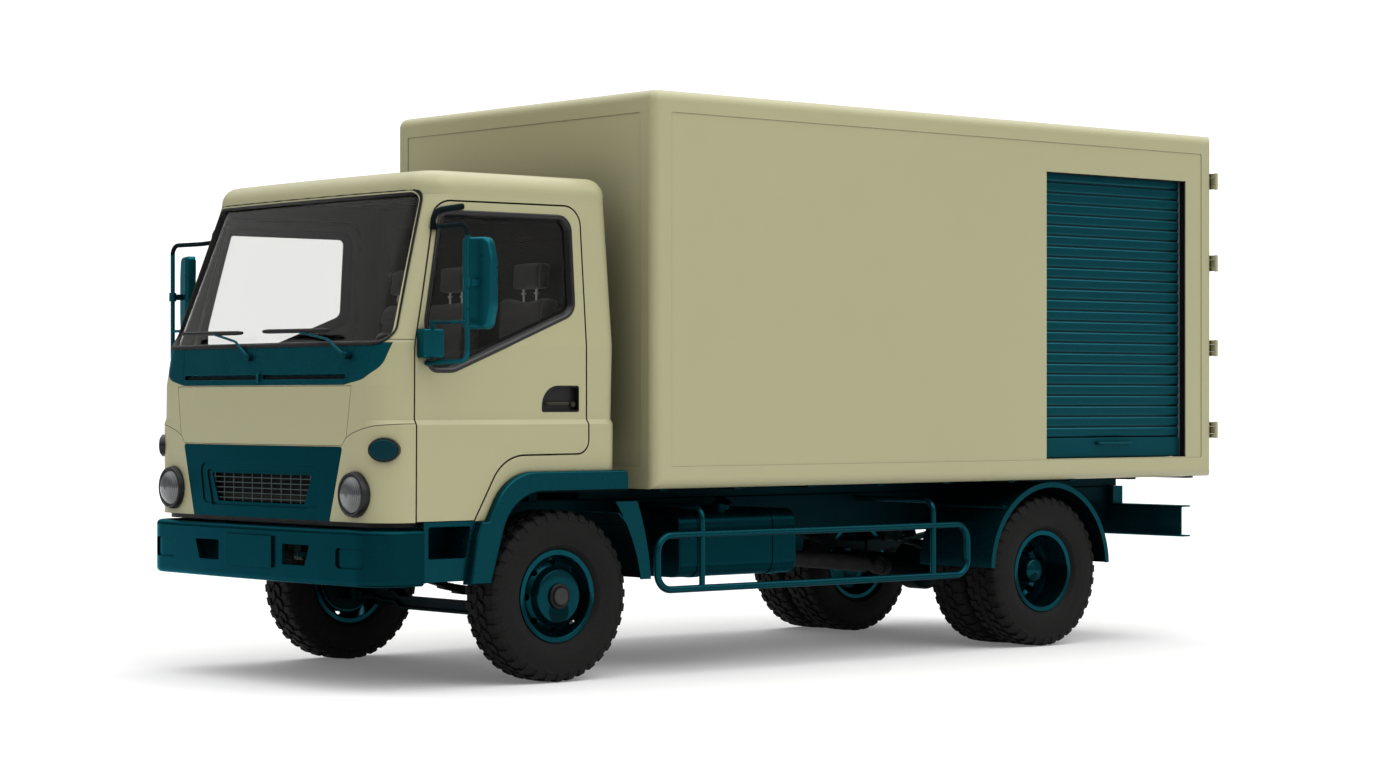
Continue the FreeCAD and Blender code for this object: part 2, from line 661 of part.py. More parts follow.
def shutter_curtain():
    """Curtain of interlocking slats, each with a hooked crown, and the bottom bar with its handle."""
    y0, y1 = shutter_y[0] + 12, shutter_y[1] - 12
    x1 = curtain_face_x
    x0 = x1 - curtain_thick
    bar_top = shutter_z[0] + 110
    count = 25
    points = [(x0, bar_top, 0), (x0, bar_top + count * slat_pitch, 0)]
    for i in reversed(range(count)):
        low = bar_top + i * slat_pitch
        points += [(x1 - 7, low + slat_pitch, 0), (x1, low + slat_pitch - 9, 0), (x1, low + 14, 0),
                   (x1 - 7, low, 0)]
    clean = [points[0]] + [p for p, q in zip(points[1:], points[:-1]) if p[:2] != q[:2]]
    slats = prism(clean, "XZ", y0, y1)
    bar = prism([(x0, shutter_z[0] + 2, 2), (x1 + 6, shutter_z[0] + 2, 6), (x1 + 6, bar_top, 6),
                 (x0, bar_top, 0)],
                "XZ", y0, y1)
    middle = (y0 + y1) / 2
    z = shutter_z[0] + 80
    handle = bent_tube([(x1 + 2, middle - 130, z, 0), (x1 + 30, middle - 130, z, 12),
                        (x1 + 30, middle + 130, z, 12),
                        (x1 + 2, middle + 130, z, 0)], 8)
    return [fuse([slats, bar, handle])]


def shutter_guides():
    """Channels that hold the curtain's edges, and the drum housing above the opening."""
    x1 = box_side_x - panel - seat_gap
    top = box_top_z - panel - 10
    guides = []
    back = guide_back_x
    for edge, into in ((shutter_y[0], 1), (shutter_y[1], -1)):
        outer = edge - into * guide_wrap
        rear_leg = block((back - guide_thick, back), tuple(sorted((outer, edge + into * 26))),
                         (floor_top_z, shutter_z[1] + 20))
        side_leg = block((back - guide_thick, x1), tuple(sorted((outer, edge + into * 4))),
                         (floor_top_z, shutter_z[1] + 20))
        guides.append(fuse([rear_leg, side_leg]))
    drum = block((x1 - 270, x1), (shutter_y[0] - 40, shutter_y[1] + 40), (shutter_z[1] + 20, top))
    drum = drum.makeFillet(60, [e for e in drum.Edges if e.BoundBox.XMax < x1 - 200 and e.BoundBox.YLength > 500])
    slot = block((back - 20, x1 + 1), (shutter_y[0] + 4, shutter_y[1] - 4), (shutter_z[1] - 10, top - 40))
    return [fuse(guides + [drum]).cut(slot)]


leaf_gap = 5.0
leaf_thick = 35.0
hinge_x = box_side_x + 8
hinge_y = box_rear_y + 14
hinge_pin = 7.0
hinge_barrel = 12.0
hinge_half = 19.5
hinge_heights = [door_sill_z + share * (door_top_z - door_sill_z) for share in (0.09, 0.36, 0.64, 0.91)]


def hinge_ears():
    """Barrels above and below each strap of the left rear door, on plates of the corner post."""
    ears = []
    bores = []
    for z in hinge_heights:
        for low in (z - 44, z + hinge_half + 1):
            high = low + 44 - hinge_half - 1
            barrel = rod(V(hinge_x, hinge_y, low), V(hinge_x, hinge_y, high), hinge_barrel)
            plate = block((portal_half + 3, hinge_x), (box_rear_y - 2, box_rear_y + 8), (low, high))
            ears.append(barrel.fuse(plate))
        bores.append(rod(V(hinge_x, hinge_y, z - 50), V(hinge_x, hinge_y, z + 50), hinge_pin + running))
    return [fuse([ear]).cut(fuse(bores)) for ear in ears]


def rear_door():
    """Left leaf, inset in the portal, with strap hinges round the corner post and a full-height lock bar."""
    y1 = box_rear_y
    leaf = block((leaf_gap / 2, portal_half - leaf_gap), (y1 - leaf_thick, y1),
                 (door_sill_z + leaf_gap, door_top_z - leaf_gap))
    leaf = leaf.makeFillet(4, [e for e in leaf.Edges if e.BoundBox.YMin > y1 - 1])
    pieces = [leaf]
    low, high = door_sill_z + leaf_gap, door_top_z - leaf_gap
    for z in hinge_heights:
        pieces.append(block((portal_half - 190, hinge_x), (y1 + 3, y1 + 11),
                            (z - hinge_half, z + hinge_half)))
        pieces.append(block((portal_half - 190, portal_half - 60), (y1 - 2, y1 + 4), (z - 28, z + 28)))
        pieces.append(rod(V(hinge_x, hinge_y, z - hinge_half), V(hinge_x, hinge_y, z + hinge_half),
                          hinge_barrel))
        pieces.append(rod(V(hinge_x, hinge_y, z - 46), V(hinge_x, hinge_y, z + 46), hinge_pin))
    bar_x = 105.0
    pieces.append(rod(V(bar_x, y1 + 16, low + 15), V(bar_x, y1 + 16, high - 15), 13))
    for share in (0.03, 0.3, 0.62, 0.97):
        z = low + share * (high - low)
        pieces.append(block((bar_x - 28, bar_x + 28), (y1 - 2, y1 + 22), (z - 22, z + 22)))
    handle_z = low + 0.2 * (high - low)
    pieces.append(block((bar_x - 10, bar_x + 260), (y1 + 12, y1 + 24), (handle_z - 12, handle_z + 12)))
    pieces.append(block((bar_x + 190, bar_x + 230), (y1 - 2, y1 + 14), (handle_z - 26, handle_z + 26)))
    return fuse(pieces)


# ---------------------------------------------------------------- cab shell
cab_half = cab_width / 2
# height, half width, Y of the face at the corners from the front axle, bow of the face, Y of the rear wall
cab_levels = [
    (cab_bottom_z, cab_half + shoulder_step, -cab_nose, nose_bow, cab_tail - 8),
    (shoulder_z - 10, cab_half + shoulder_step, -cab_nose, nose_bow, cab_tail - 4),
    (shoulder_z + 12, cab_half, -cab_nose, nose_bow, cab_tail - 4),
    (1385.0, cab_half, -cab_nose + 2, nose_bow, cab_tail),
    (belt_z, cab_half, -cab_nose + 34, nose_bow, cab_tail + 5),
    (eaves_z, cab_half - eaves_lean, -cab_nose + 284, nose_bow + 5, cab_tail - 5),
    (roof_z, cab_half - eaves_lean, -cab_nose + 284, nose_bow + 5, cab_tail - 5),
]


def cab_level(z, half, face, bow, tail, inset):
    """Plan of the cab at one height: bowed face, round corners, straight sides and back."""
    half -= inset
    front = cab_y(face) + inset
    rear = cab_y(tail) - inset
    nose = cab_corner - inset
    tail_r = max(cab_rear_corner - inset, 12)
    swing = nose * (1 - math.sqrt(0.5))
    tail_swing = tail_r * (1 - math.sqrt(0.5))
    p = [V(-half + nose, front, z), V(half - nose, front, z), V(half, front + nose, z),
         V(half, rear - tail_r, z),
         V(half - tail_r, rear, z), V(-half + tail_r, rear, z), V(-half, rear - tail_r, z), V(-half,
                                                                                              front + nose, z)]
    edges = [Part.Arc(p[0], V(0, front - bow, z), p[1]).toShape(),
             Part.Arc(p[1], V(half - swing, front + swing, z), p[2]).toShape(),
             Part.LineSegment(p[2], p[3]).toShape(),
             Part.Arc(p[3], V(half - tail_swing, rear - tail_swing, z), p[4]).toShape(),
             Part.LineSegment(p[4], p[5]).toShape(),
             Part.Arc(p[5], V(-half + tail_swing, rear - tail_swing, z), p[6]).toShape(),
             Part.LineSegment(p[6], p[7]).toShape(),
             Part.Arc(p[7], V(-half + swing, front + swing, z), p[0]).toShape()]
    return Part.Wire(edges)


def cab_solid(inset, top, round_roof):
    """Ruled loft through the cab's levels, each drawn in by inset, up to the given top."""
    levels = [cab_level(z, half, face, bow, tail, inset) for z, half, face, bow, tail in cab_levels[:-1]]
    z, half, face, bow, tail = cab_levels[-1]
    levels.append(cab_level(top, half, face, bow, tail, inset))
    solid = Part.makeLoft(levels, True, True)
    if round_roof:
        rim = [e for e in solid.Edges if e.BoundBox.ZMin > top - 1]
        solid = solid.makeFillet(round_roof, rim)
    return solid


footwell_z = 842.0
deck_z = 1100.0
deck_plate = 30.0
footwell_rear = -490.0


def tapered(flank):
    """Symmetric outline in front view from one flank: (distance in from the cab's side, height, corner radius)."""
    left = [(cab_half - inset, z, r) for inset, z, r in flank]
    return [(-x, z, r) for x, z, r in left] + left[::-1]


def seam_band(points):
    """Outline of a thin band that runs along the points."""
    half = seam_width / 2
    upper = [(u, v + half, 0) for u, v in points]
    lower = [(u, v - half, 0) for u, v in points]
    if points[0][0] == points[-1][0] or abs(points[-1][1] - points[0][1]) > abs(points[-1][0] - points[0][0]):
        upper = [(u + half, v, 0) for u, v in points]
        lower = [(u - half, v, 0) for u, v in points]
    return upper + lower[::-1]


def engraving(points, plane, depth):
    """Cutter that follows the cab's surface to the given depth inside an outline."""
    far = 3000.0
    start, end = (cab_y(-far), cab_y(-800)) if plane == "XZ" else (-far, far)
    return prism(points, plane, start, end).common(cab_solid(-1, roof_z, 0)).cut(cab_solid(depth,
                                                                                           roof_z - depth, 0))


seam_width = 3.0
seam_depth = 4.0
slot_depth = 16.0
intake_outline = tapered([(605, 838, 8), (545, 972, 8)])
# recesses round the air intake, from the widest in: outline of one flank, depth under the panel's face
intake_steps = [([(483, 828, 30), (448, 1019, 40)], 5.0), ([(553, 820, 20), (503, 988, 20)], 11.0)]

# Door outline and glass outline in side view: distance behind the front axle, height, corner radius.
door_outline = [(-846, cab_bottom_z - 40, 0), (-842, belt_z - 7, 300), (-675, 2226, 95), (148, 2230, 95),
                (150, 1062, 70), (-349, 1058, 200), (-538, cab_bottom_z - 40, 0)]
window_outline = [(-765, 1675, 150), (-650, 2165, 45), (76, 2166, 60), (74, 1727, 70), (-625, 1455, 120),
                  (-757, 1455, 45)]
screen_low, screen_high = cab_half - 45, cab_half - eaves_lean - 77
windscreen_outline = [(-screen_low, 1570, 60), (-screen_high, 2262, 55), (screen_high, 2262, 55),
                      (screen_low, 1570, 60)]


handle_pocket = [(-119, 1261, 10), (-119, 1384, 95), (101, 1384, 12), (101, 1261, 10)]
pocket_depth = 32.0
handle_z = 1300.0


def on_cab(points):
    return [(cab_y(y), z, r) for y, z, r in points]


def door_handle():
    """Grip on two feet in the door's pocket, and the lock barrel behind it."""
    face, foot = cab_half - 8, cab_half - pocket_depth - 2
    grip = bent_tube([(foot, cab_y(-92), handle_z, 0), (face, cab_y(-80), handle_z, 9),
                      (face, cab_y(40), handle_z, 9),
                      (foot, cab_y(48), handle_z, 0)], 8)
    barrel = rod(V(foot, cab_y(75), handle_z - 3), V(face - 2, cab_y(75), handle_z - 3), 12)
    return [grip, barrel]


def cab_parts():
    """Hollow cab split at its seams: front frame, back, roof, doors, cowl, lid and grille panels."""
    far = 3000.0
    outer = cab_solid(0, roof_z, roof_edge_radius)
    lapped = cab_solid(skin, roof_z - skin, roof_edge_radius - skin)
    inner = cab_solid(wall, roof_z - wall, 30)
    shell = outer.cut(inner)
    middle = cab_solid(wall / 2 - glass_thick / 2, roof_z - 30, 0)
    middle_in = cab_solid(wall / 2 + glass_thick / 2, roof_z - 30, 0)
    pane = middle.cut(middle_in)

    # doors: an outer skin that laps the frame and a thinner-outlined inner part
    skin_layer = outer.cut(lapped)
    inner_layer = lapped.cut(inner)
    low_cut = block((-far, far), (-far, far), (0, cab_bottom_z + door_gap / 2))
    door_points = on_cab(door_outline)
    door = fuse([skin_layer.common(offset_prism(door_points, "YZ", 0, far, -door_gap)),
                 inner_layer.common(offset_prism(door_points, "YZ", 0, far, -door_inner_gap))])
    door = door.cut(low_cut)
    window = prism(on_cab(window_outline), "YZ", 0, far)
    door = door.cut(window).cut(engraving(on_cab(handle_pocket), "YZ", pocket_depth))
    door = fuse([door] + door_handle())
    door_glass = pane.common(window)
    body = shell.cut(prism(door_points, "YZ", -far, far))
    # wheel opening: the body ends above the arch flare
    opening = [(-560, 700, 0), (-462, 762, 0), (-346, 970, 200), (900, 970, 0), (900, 500, 0), (-560, 500, 0)]
    body = body.cut(prism(on_cab(opening), "YZ", -far, far))
    # windscreen aperture and glass
    screen = prism(windscreen_outline, "XZ", cab_y(-far), cab_y(-500))
    body = body.cut(screen)
    windscreen = pane.common(screen)
    # front panels lie in the outer part of the front wall; the bulkhead behind them stays with the frame
    panel_layer = outer.cut(cab_solid(22, roof_z - 22, 0)).common(block((-far, far),
                                                                        (cab_y(-far), cab_y(-800)), (0, far)))
    cowl_points = tapered([(290, 1385, 0), (150, 1410, 130), (62, 1468, 80), (38, 1575, 0)])
    lid_points = tapered([(299, 1109, 3), (262, 1150, 12), (228, 1382, 8)])
    grille_points = tapered([(397, cab_bottom_z - 20, 0), (293, 1106, 14)])
    seam = 2.5
    parts = {}
    cut_tool = []
    for name, points in (("cowl_panel", cowl_points), ("front_lid", lid_points),
                         ("grille_panel", grille_points)):
        whole = prism(points, "XZ", cab_y(-far), cab_y(-800))
        cut_tool.append(whole)
        parts[name] = panel_layer.common(offset_prism(points, "XZ", cab_y(-far), cab_y(-800), -seam))
    body = body.cut(fuse(cut_tool).common(cab_solid(0, roof_z,
                                                    0).cut(cab_solid(22 + seat_gap, roof_z - 22, 0))))
    # room behind the grille panel for the air intake and the cab's pivot forks
    body = body.cut(block((-fork_x[1] - 20, fork_x[1] + 20), (cab_y(-cab_nose - nose_bow), cab_y(-900)),
                          (0, 985)))
    # the rear wall ends at the deck, over the engine
    body = body.cut(block((-cab_half + wall + 20, cab_half - wall - 20), (cab_y(200), far),
                          (0, deck_z - deck_plate)))
    # grille panel: nested recesses round the air intake
    for flank, depth in intake_steps:
        parts["grille_panel"] = parts["grille_panel"].cut(engraving(tapered(flank), "XZ", depth))
    parts["grille_panel"] = parts["grille_panel"].cut(prism(intake_outline, "XZ", cab_y(-far), cab_y(-900)))
    # cowl: air slots either side of a nib, and the seams of its corner pieces
    for s in (1, -1):
        slot = [(s * 22, 1412, 10), (s * 22, 1435, 10), (s * (cab_half - 283), 1435, 10),
                (s * (cab_half - 283), 1412, 10)]
        parts["cowl_panel"] = parts["cowl_panel"].cut(engraving(slot, "XZ", slot_depth))
        parts["cowl_panel"] = parts["cowl_panel"].cut(engraving(
            seam_band([(s * (cab_half - 279), 1370), (s * (cab_half - 236), 1590)]), "XZ", seam_depth))
    nib = prism([(-9, 1400, 4), (-9, 1442, 4), (9, 1442, 4), (9, 1400, 4)], "XZ",
                cab_y(-cab_nose - nose_bow - 5),
                cab_y(-cab_nose - nose_bow + 8))
    parts["cowl_panel"] = parts["cowl_panel"].fuse(nib)
    # seams of the corner panels: from the lid's corner to the door, and across the pillar at the belt
    arch = [(cab_half - 266, 1146), (cab_half - 225, 1166), (cab_half - 150, 1187), (cab_half - 60, 1203),
            (cab_half + 60, 1214)]
    for s in (1, -1):
        body = body.cut(engraving(seam_band([(s * x, z) for x, z in arch]), "XZ", seam_depth))
    pillar = seam_band([(cab_y(-cab_nose), belt_z + 18), (cab_y(-800), belt_z + 18)])
    body = body.cut(engraving(pillar, "YZ", seam_depth))
    # splits between front frame, back and roof
    roof_cut = block((-far, far), (-far, far), (2236, far))
    roof = body.common(roof_cut)
    rest = body.cut(roof_cut)
    back_cut = block((-far, far), (cab_y(-260), far), (0, far))
    parts["cab_roof"] = roof
    parts["cab_back"] = rest.common(back_cut)
    parts["cab_front_frame"] = rest.cut(back_cut)
    parts["windscreen"] = windscreen
    parts["door"] = door
    parts["door_glass"] = door_glass
    return parts


def cab_floor():
    """Footwell floor, the riser in front of the wheels and the raised deck over the engine, inside the cab's walls."""
    plate = deck_plate
    front_y = cab_y(-cab_nose - 50)
    rear_y = cab_y(cab_tail + 50)
    profile = [(front_y, footwell_z, 0), (front_y, footwell_z + plate, 0),
               (cab_y(footwell_rear) - plate, footwell_z + plate, 0), (cab_y(footwell_rear) - plate, deck_z,
                                                                       0),
               (rear_y, deck_z, 0), (rear_y, deck_z - plate, 0), (cab_y(footwell_rear), deck_z - plate, 0),
               (cab_y(footwell_rear), footwell_z, 0)]
    floor = prism(profile, "YZ", -cab_width, cab_width).common(cab_solid(wall + seat_gap, roof_z - wall, 0))
    clear = 4.0
    lug_x = (fork_x[0] + fork_plate + clear, fork_x[1] - fork_plate - clear)
    lug = block(lug_x, (pivot_y - 20, pivot_y + 30), (pivot_z, footwell_z + 5))
    lug = lug.fuse(rod(V(lug_x[0], pivot_y, pivot_z), V(lug_x[1], pivot_y, pivot_z), fork_head - 2))
    pin = rod(V(fork_x[0] - 3, pivot_y, pivot_z), V(fork_x[1] + 3, pivot_y, pivot_z), pivot_pin)
    return [fuse([floor] + both_sides(lug.fuse(pin)))]


back_top = deck_z + 730
seat_spans = ((280, 740), (-740, 130))     # driver's seat and the double passenger seat


def seat_frames():
    """Boxed frames under the cushions."""
    pieces = []
    for x0, x1 in seat_spans:
        pieces.append(block((x0 + 20, x1 - 20), (cab_y(-330), cab_y(80)), (deck_z + seat_gap, deck_z + 130)))
    return pieces


def seat_cushions():
    """Driver's seat and the double passenger seat: cushion, back and headrests as plain soft forms."""
    pieces = []
    for x0, x1 in seat_spans:
        low = deck_z + 130 + seat_gap
        cushion = block((x0, x1), (cab_y(-400), cab_y(190)), (low, low + 130))
        cushion = cushion.makeFillet(35, cushion.Edges)
        base = low + 130 + seat_gap
        back = prism([(cab_y(60), base, 30), (cab_y(115), back_top, 40), (cab_y(215), back_top, 40),
                      (cab_y(200), base, 30)], "YZ", x0, x1)
        pieces += [cushion, back]
    for x in (510, -90, -540):
        low = back_top + seat_gap
        rest = prism([(cab_y(120), low, 30), (cab_y(135), low + 150, 40), (cab_y(225), low + 150, 40),
                      (cab_y(215), low, 30)], "YZ", x - 135, x + 135)
        pieces.append(rest)
    return pieces


column_x = 510.0
wheel_centre = (column_x, -500.0, 1500.0)
column_lean = 35.0            # degrees of the column from vertical


def column_axis():
    turn = math.radians(column_lean)
    return V(0, math.sin(turn), math.cos(turn))


def dashboard():
    """Dashboard across the cab and the steering column that rises from it."""
    half = cab_half - wall - 6
    profile = [(cab_y(-945), 1180, 30), (cab_y(-925), 1500, 40), (cab_y(-760), 1520, 60),
               (cab_y(-640), 1400, 60),
               (cab_y(-700), 1180, 40)]
    body = prism(profile, "YZ", -half, half)
    axis = column_axis()
    top = V(wheel_centre[0], cab_y(wheel_centre[1]), wheel_centre[2]) - axis * 60
    column = rod(top - axis * 420, top, 32)
    return [fuse([body, column]).common(cab_solid(wall + seat_gap, roof_z - wall, 0))]


def steering_wheel():
    """Rim, four spokes and hub, on a stub that turns in the column's end."""
    axis = column_axis()
    centre = V(wheel_centre[0], cab_y(wheel_centre[1]), wheel_centre[2])
    rim = Part.makeTorus(205, 15, V(0, 0, 0), V(0, 0, 1))
    hub = Part.makeCylinder(62, 40, V(0, 0, -45))
    stub = Part.makeCylinder(24, 20, V(0, 0, -60 + seat_gap))
    pieces = [rim, hub, stub]
    for angle in (20, 160, 235, 305):
        turn = math.radians(angle)
        pieces.append(rod(V(0, 0, -22), V(205 * math.cos(turn), 205 * math.sin(turn), 0), 11))
    wheel = fuse(pieces)
    wheel.rotate(V(0, 0, 0), V(1, 0, 0), -column_lean)
    wheel.translate(centre)
    return [wheel]


flare_x = 1030.0


def wheel_arches():
    """Flare over the front wheel and the step well ahead of it, one moulding on each side."""
    flare = [(-566, 479, 0), (-532, 690, 60), (-500, 764, 0), (-462, 764, 0), (-346, 987, 250),
             (358, 987, 25),
             (358, 889, 0), (-326, 889, 230), (-447, 479, 0)]
    x0 = cab_half - 8
    flare_solid = prism(on_cab(flare), "YZ", x0, flare_x)
    flare_solid = flare_solid.makeFillet(12, [e for e in flare_solid.Edges if e.BoundBox.XMin > flare_x - 1])
    flare_solid = flare_solid.cut(cab_solid(-seat_gap, roof_z, 0))
    step = [(-800, 497, 10), (-800, cab_bottom_z - seat_gap, 0), (-501, cab_bottom_z - seat_gap, 0),
            (-533, 690, 0), (-562, 497, 0)]
    well = prism(on_cab(step), "YZ", 760, 990)
    hollow = [(-775, 600, 10), (-775, 745, 10), (-540, 745, 10), (-566, 600, 10)]
    well = well.cut(prism(on_cab(hollow), "YZ", 800, 1100))
    return both_sides(fuse([flare_solid, well]))


lamp_x = cab_half - 195
lamp_z = 892.0
indicator = (cab_half - 26, -987.0, 1094.0)


lens_radius = 85.0
bezel_radius = 103.0


def lamp_solids():
    """Domed headlamps in deep bezels, and oval indicators in thin ones on the cab's corners."""
    face = cab_y(-cab_nose - 10)
    lens = turned([(0, 0, 0), (0, lens_radius, 0), (18, lens_radius, 5), (44, 52, 60), (50, 0, 0)],
                  V(0, 0, 0))
    seat = lens_radius + seat_gap
    bezel = turned([(-20, seat, 0), (20, seat, 2), (26, lens_radius + 5, 3), (23, bezel_radius - 5, 5),
                    (4, bezel_radius, 6),
                    (-20, bezel_radius, 0)], V(0, 0, 0))
    for solid in (lens, bezel):
        solid.rotate(V(0, 0, 0), V(0, 0, 1), -90)
    turn = -40                   # the indicators face this many degrees outwards

    def oval(half_width, half_height, start, end):
        wire = Part.Wire([Part.Ellipse(V(0, start, 0), half_width, half_height).toShape()])
        wire.rotate(V(0, start, 0), V(1, 0, 0), 90)
        return Part.Face(wire).extrude(V(0, end - start, 0))

    ind_lens = oval(64, 46, -30, 4)
    ind_lens = ind_lens.makeFillet(5,
                                   [e for e in ind_lens.Edges if e.BoundBox.YMax < -29 and e.BoundBox.XLength > 50])
    ring = oval(72, 54, -22, 10).cut(oval(64 + seat_gap, 46 + seat_gap, -40, 20))
    for solid in (ind_lens, ring):
        solid.rotate(V(0, 0, 0), V(0, 0, 1), -turn)
        solid.translate(V(indicator[0] - 14, cab_y(indicator[1]) + 14, indicator[2]))
    for solid in (lens, bezel):
        solid.translate(V(lamp_x, face, lamp_z))
    cutter = cab_solid(-0.2, roof_z, 0)
    return {"headlamps": both_sides(lens.cut(cutter)), "lamp_bezels": both_sides(bezel.cut(cutter)) +
            both_sides(ring.cut(cutter)), "indicators": both_sides(ind_lens.cut(cutter))}


def grille_mesh():
    """Crossed vanes that fill the grille panel's air intake."""
    y0, y1 = cab_y(-cab_nose), cab_y(-cab_nose + 8)
    bars = []
    for i in range(5):
        z = 855 + i * 24.5
        bars.append(block((-500, 500), (y0, y1), (z - 2, z + 2)))
    for i in range(11):
        x = (i - 5) * 82.0
        bars.append(block((x - 2.5, x + 2.5), (y0 + 1, y1 - 1), (800, 1000)))
    return [fuse(bars).common(offset_prism(intake_outline, "XZ", cab_y(-1100), cab_y(-900), -seat_gap))]


mirror_turn = 20.0             # degrees that the heads turn in towards the driver


def mirror_set():
    """Mirror head clamped to a bent tube, between a cap on the window's top corner and a block below it."""
    tube_x = cab_half + 277
    y = cab_y(-750)
    top, low = 2096, 1490
    arm = bent_tube([(cab_half - 60, cab_y(-680), top + 10, 0), (cab_half + 45, cab_y(-725), top, 60),
                     (tube_x, y, top, 45),
                     (tube_x, y, low, 45), (cab_half - 13, cab_y(-775), low - 8, 0)], 11)
    cap = bent_tube([(cab_half - 42, cab_y(-708), 2088, 0), (cab_half - 44, cab_y(-702), 2172, 62),
                     (cab_half - 50, cab_y(-535), 2199, 0)], 13)
    head = prism([(-82, 1632, 18), (-82, 2042, 22), (58, 2042, 40), (80, 1940, 200), (80, 1730, 200),
                  (60, 1632, 34)],
                 "XZ", 0, 50)
    head = head.makeFillet(18, [e for e in head.Edges if e.BoundBox.YMax < 1])
    head.rotate(V(0, 0, 0), V(0, 0, 1), mirror_turn)
    head.translate(V(tube_x - 5, y + 54, 0))
    clamp = rod(V(tube_x, y, 1815), V(tube_x, y, 1858), 18)
    foot = block((tube_x - 9, tube_x + 9), (y, y + 75), (1822, 1851))
    base = block((cab_half - 25, cab_half + 60), (cab_y(-825), cab_y(-714)), (1505, 1636))
    base = base.makeFillet(12, [e for e in base.Edges if e.BoundBox.XMax > cab_half + 59])
    post = rod(V(cab_half + 25, cab_y(-758), 1630), V(cab_half + 25, cab_y(-758), 1675), 11)
    stay = rod(V(cab_half + 25, cab_y(-758), 1664), V(tube_x, y, 1664), 7)
    pieces = fuse([arm, cap, head, clamp, foot, base, post, stay])
    return [largest_solids(pieces.cut(cab_solid(-seat_gap, roof_z, 0)))]


def wipers():
    """Cranked arms from pivots on the cowl to blades that lie along the windscreen's foot."""
    pieces = []
    for pivot_x, blade_x in ((-103, -472), (701, 256)):
        base = V(pivot_x, cab_y(-1030), 1518)
        bend = pivot_x + 0.36 * (blade_x - pivot_x)
        arm = bent_tube([(pivot_x, cab_y(-1030), 1518, 0), (bend, cab_y(-1018), 1594, 60),
                         (blade_x, cab_y(-1003), 1636, 0)], 6)
        blade = rod(V(blade_x - 270, cab_y(-1000), 1638), V(blade_x + 270, cab_y(-1002), 1634), 6)
        pivot = Part.makeCylinder(17, 45, base - V(0, 8, 0), V(0, 1, 0))
        pieces.append(largest_solids(fuse([pivot, arm, blade]).cut(cab_solid(-seat_gap, roof_z, 0))))
    return pieces


# ---------------------------------------------------------------- steering and wheels
spindle_radius = 28.0
front_plate_x = kingpin_x + 52
front_drum_x = (kingpin_x + 66, tyre_x + 30)
arm_reach = 150.0
ball_radius = 12.0


def knuckle():
    """Fork round the axle's boss, kingpin, spindle, brake backing plate and steering arm."""
    ear = 24.0
    gap = 1.0
    z0, z1 = axle_z - 70 - gap, axle_z + 70 + gap
    y = front_axle_y
    pin = rod(V(kingpin_x, y, z0 - ear), V(kingpin_x, y, z1 + ear), 16)
    pieces = [pin]
    for low in (z0 - ear, z1):
        pieces.append(Part.makeCylinder(32, ear, V(kingpin_x, y, low)))
        pieces.append(block((kingpin_x, front_plate_x), (y - 30, y + 30), (low, low + ear)))
    pieces.append(block((front_plate_x - 12, front_plate_x), (y - 40, y + 40), (z0 - ear, z1 + ear)))
    pieces.append(Part.makeCylinder(150, 8, V(front_plate_x, y, axle_z), V(1, 0, 0)))
    pieces.append(rod(V(front_plate_x, y, axle_z), V(tyre_x + 70, y, axle_z), spindle_radius))
    arm_z = z0 - ear
    pieces.append(block((kingpin_x - 14, kingpin_x + 14), (y, y + arm_reach), (arm_z, arm_z + 16)))
    pieces.append(Part.makeCylinder(18, 16, V(kingpin_x, y + arm_reach, arm_z)))
    pieces.append(Part.makeCylinder(ball_radius, 40, V(kingpin_x, y + arm_reach, arm_z - 36)))
    return fuse(pieces)


def tie_rod():
    """Rod between the steering arms' pins: a close fit on the left pin, a wide eye on the right one."""
    y = front_axle_y + arm_reach
    z = axle_z - 71 - 24 - 30
    eyes = [Part.makeCylinder(24, 22, V(s * kingpin_x, y, z)) for s in (1, -1)]
    bar = rod(V(-kingpin_x, y, z + 11), V(kingpin_x, y, z + 11), 11)
    solid = fuse(eyes + [bar])
    for s, clear in ((1, running), (-1, 2.0)):
        solid = solid.cut(Part.makeCylinder(ball_radius + clear, 60, V(s * kingpin_x, y, z - 20)))
    return [solid]


def tyre(centre_x):
    half = tyre_width / 2
    profile = [(78, rim_radius + seat_gap, 3), (80, 221, 4), (half - 6, 262, 60), (half, 312, 60),
               (half - 6, 372, 40), (half - 23, tyre_radius, 16)]
    points = profile + [(-x, r, c) for x, r, c in reversed(profile)]
    return turned(points, V(centre_x, 0, 0))


def rim_points():
    return [(-88, 218, 2), (-80.5, 218, 2), (-80.5, rim_radius, 0), (80.5, rim_radius, 0), (80.5, 218, 2),
            (88, 218, 2),
            (88, 192, 4), (-88, 192, 4)]


def holes(radius, pitch_radius, count, x0, x1, start=0.0):
    tools = []
    for i in range(count):
        turn = math.radians(start + 360.0 * i / count)
        tools.append(Part.makeCylinder(radius, x1 - x0,
                                       V(x0, pitch_radius * math.cos(turn), pitch_radius * math.sin(turn)),
                                       V(1, 0, 0)))
    return tools


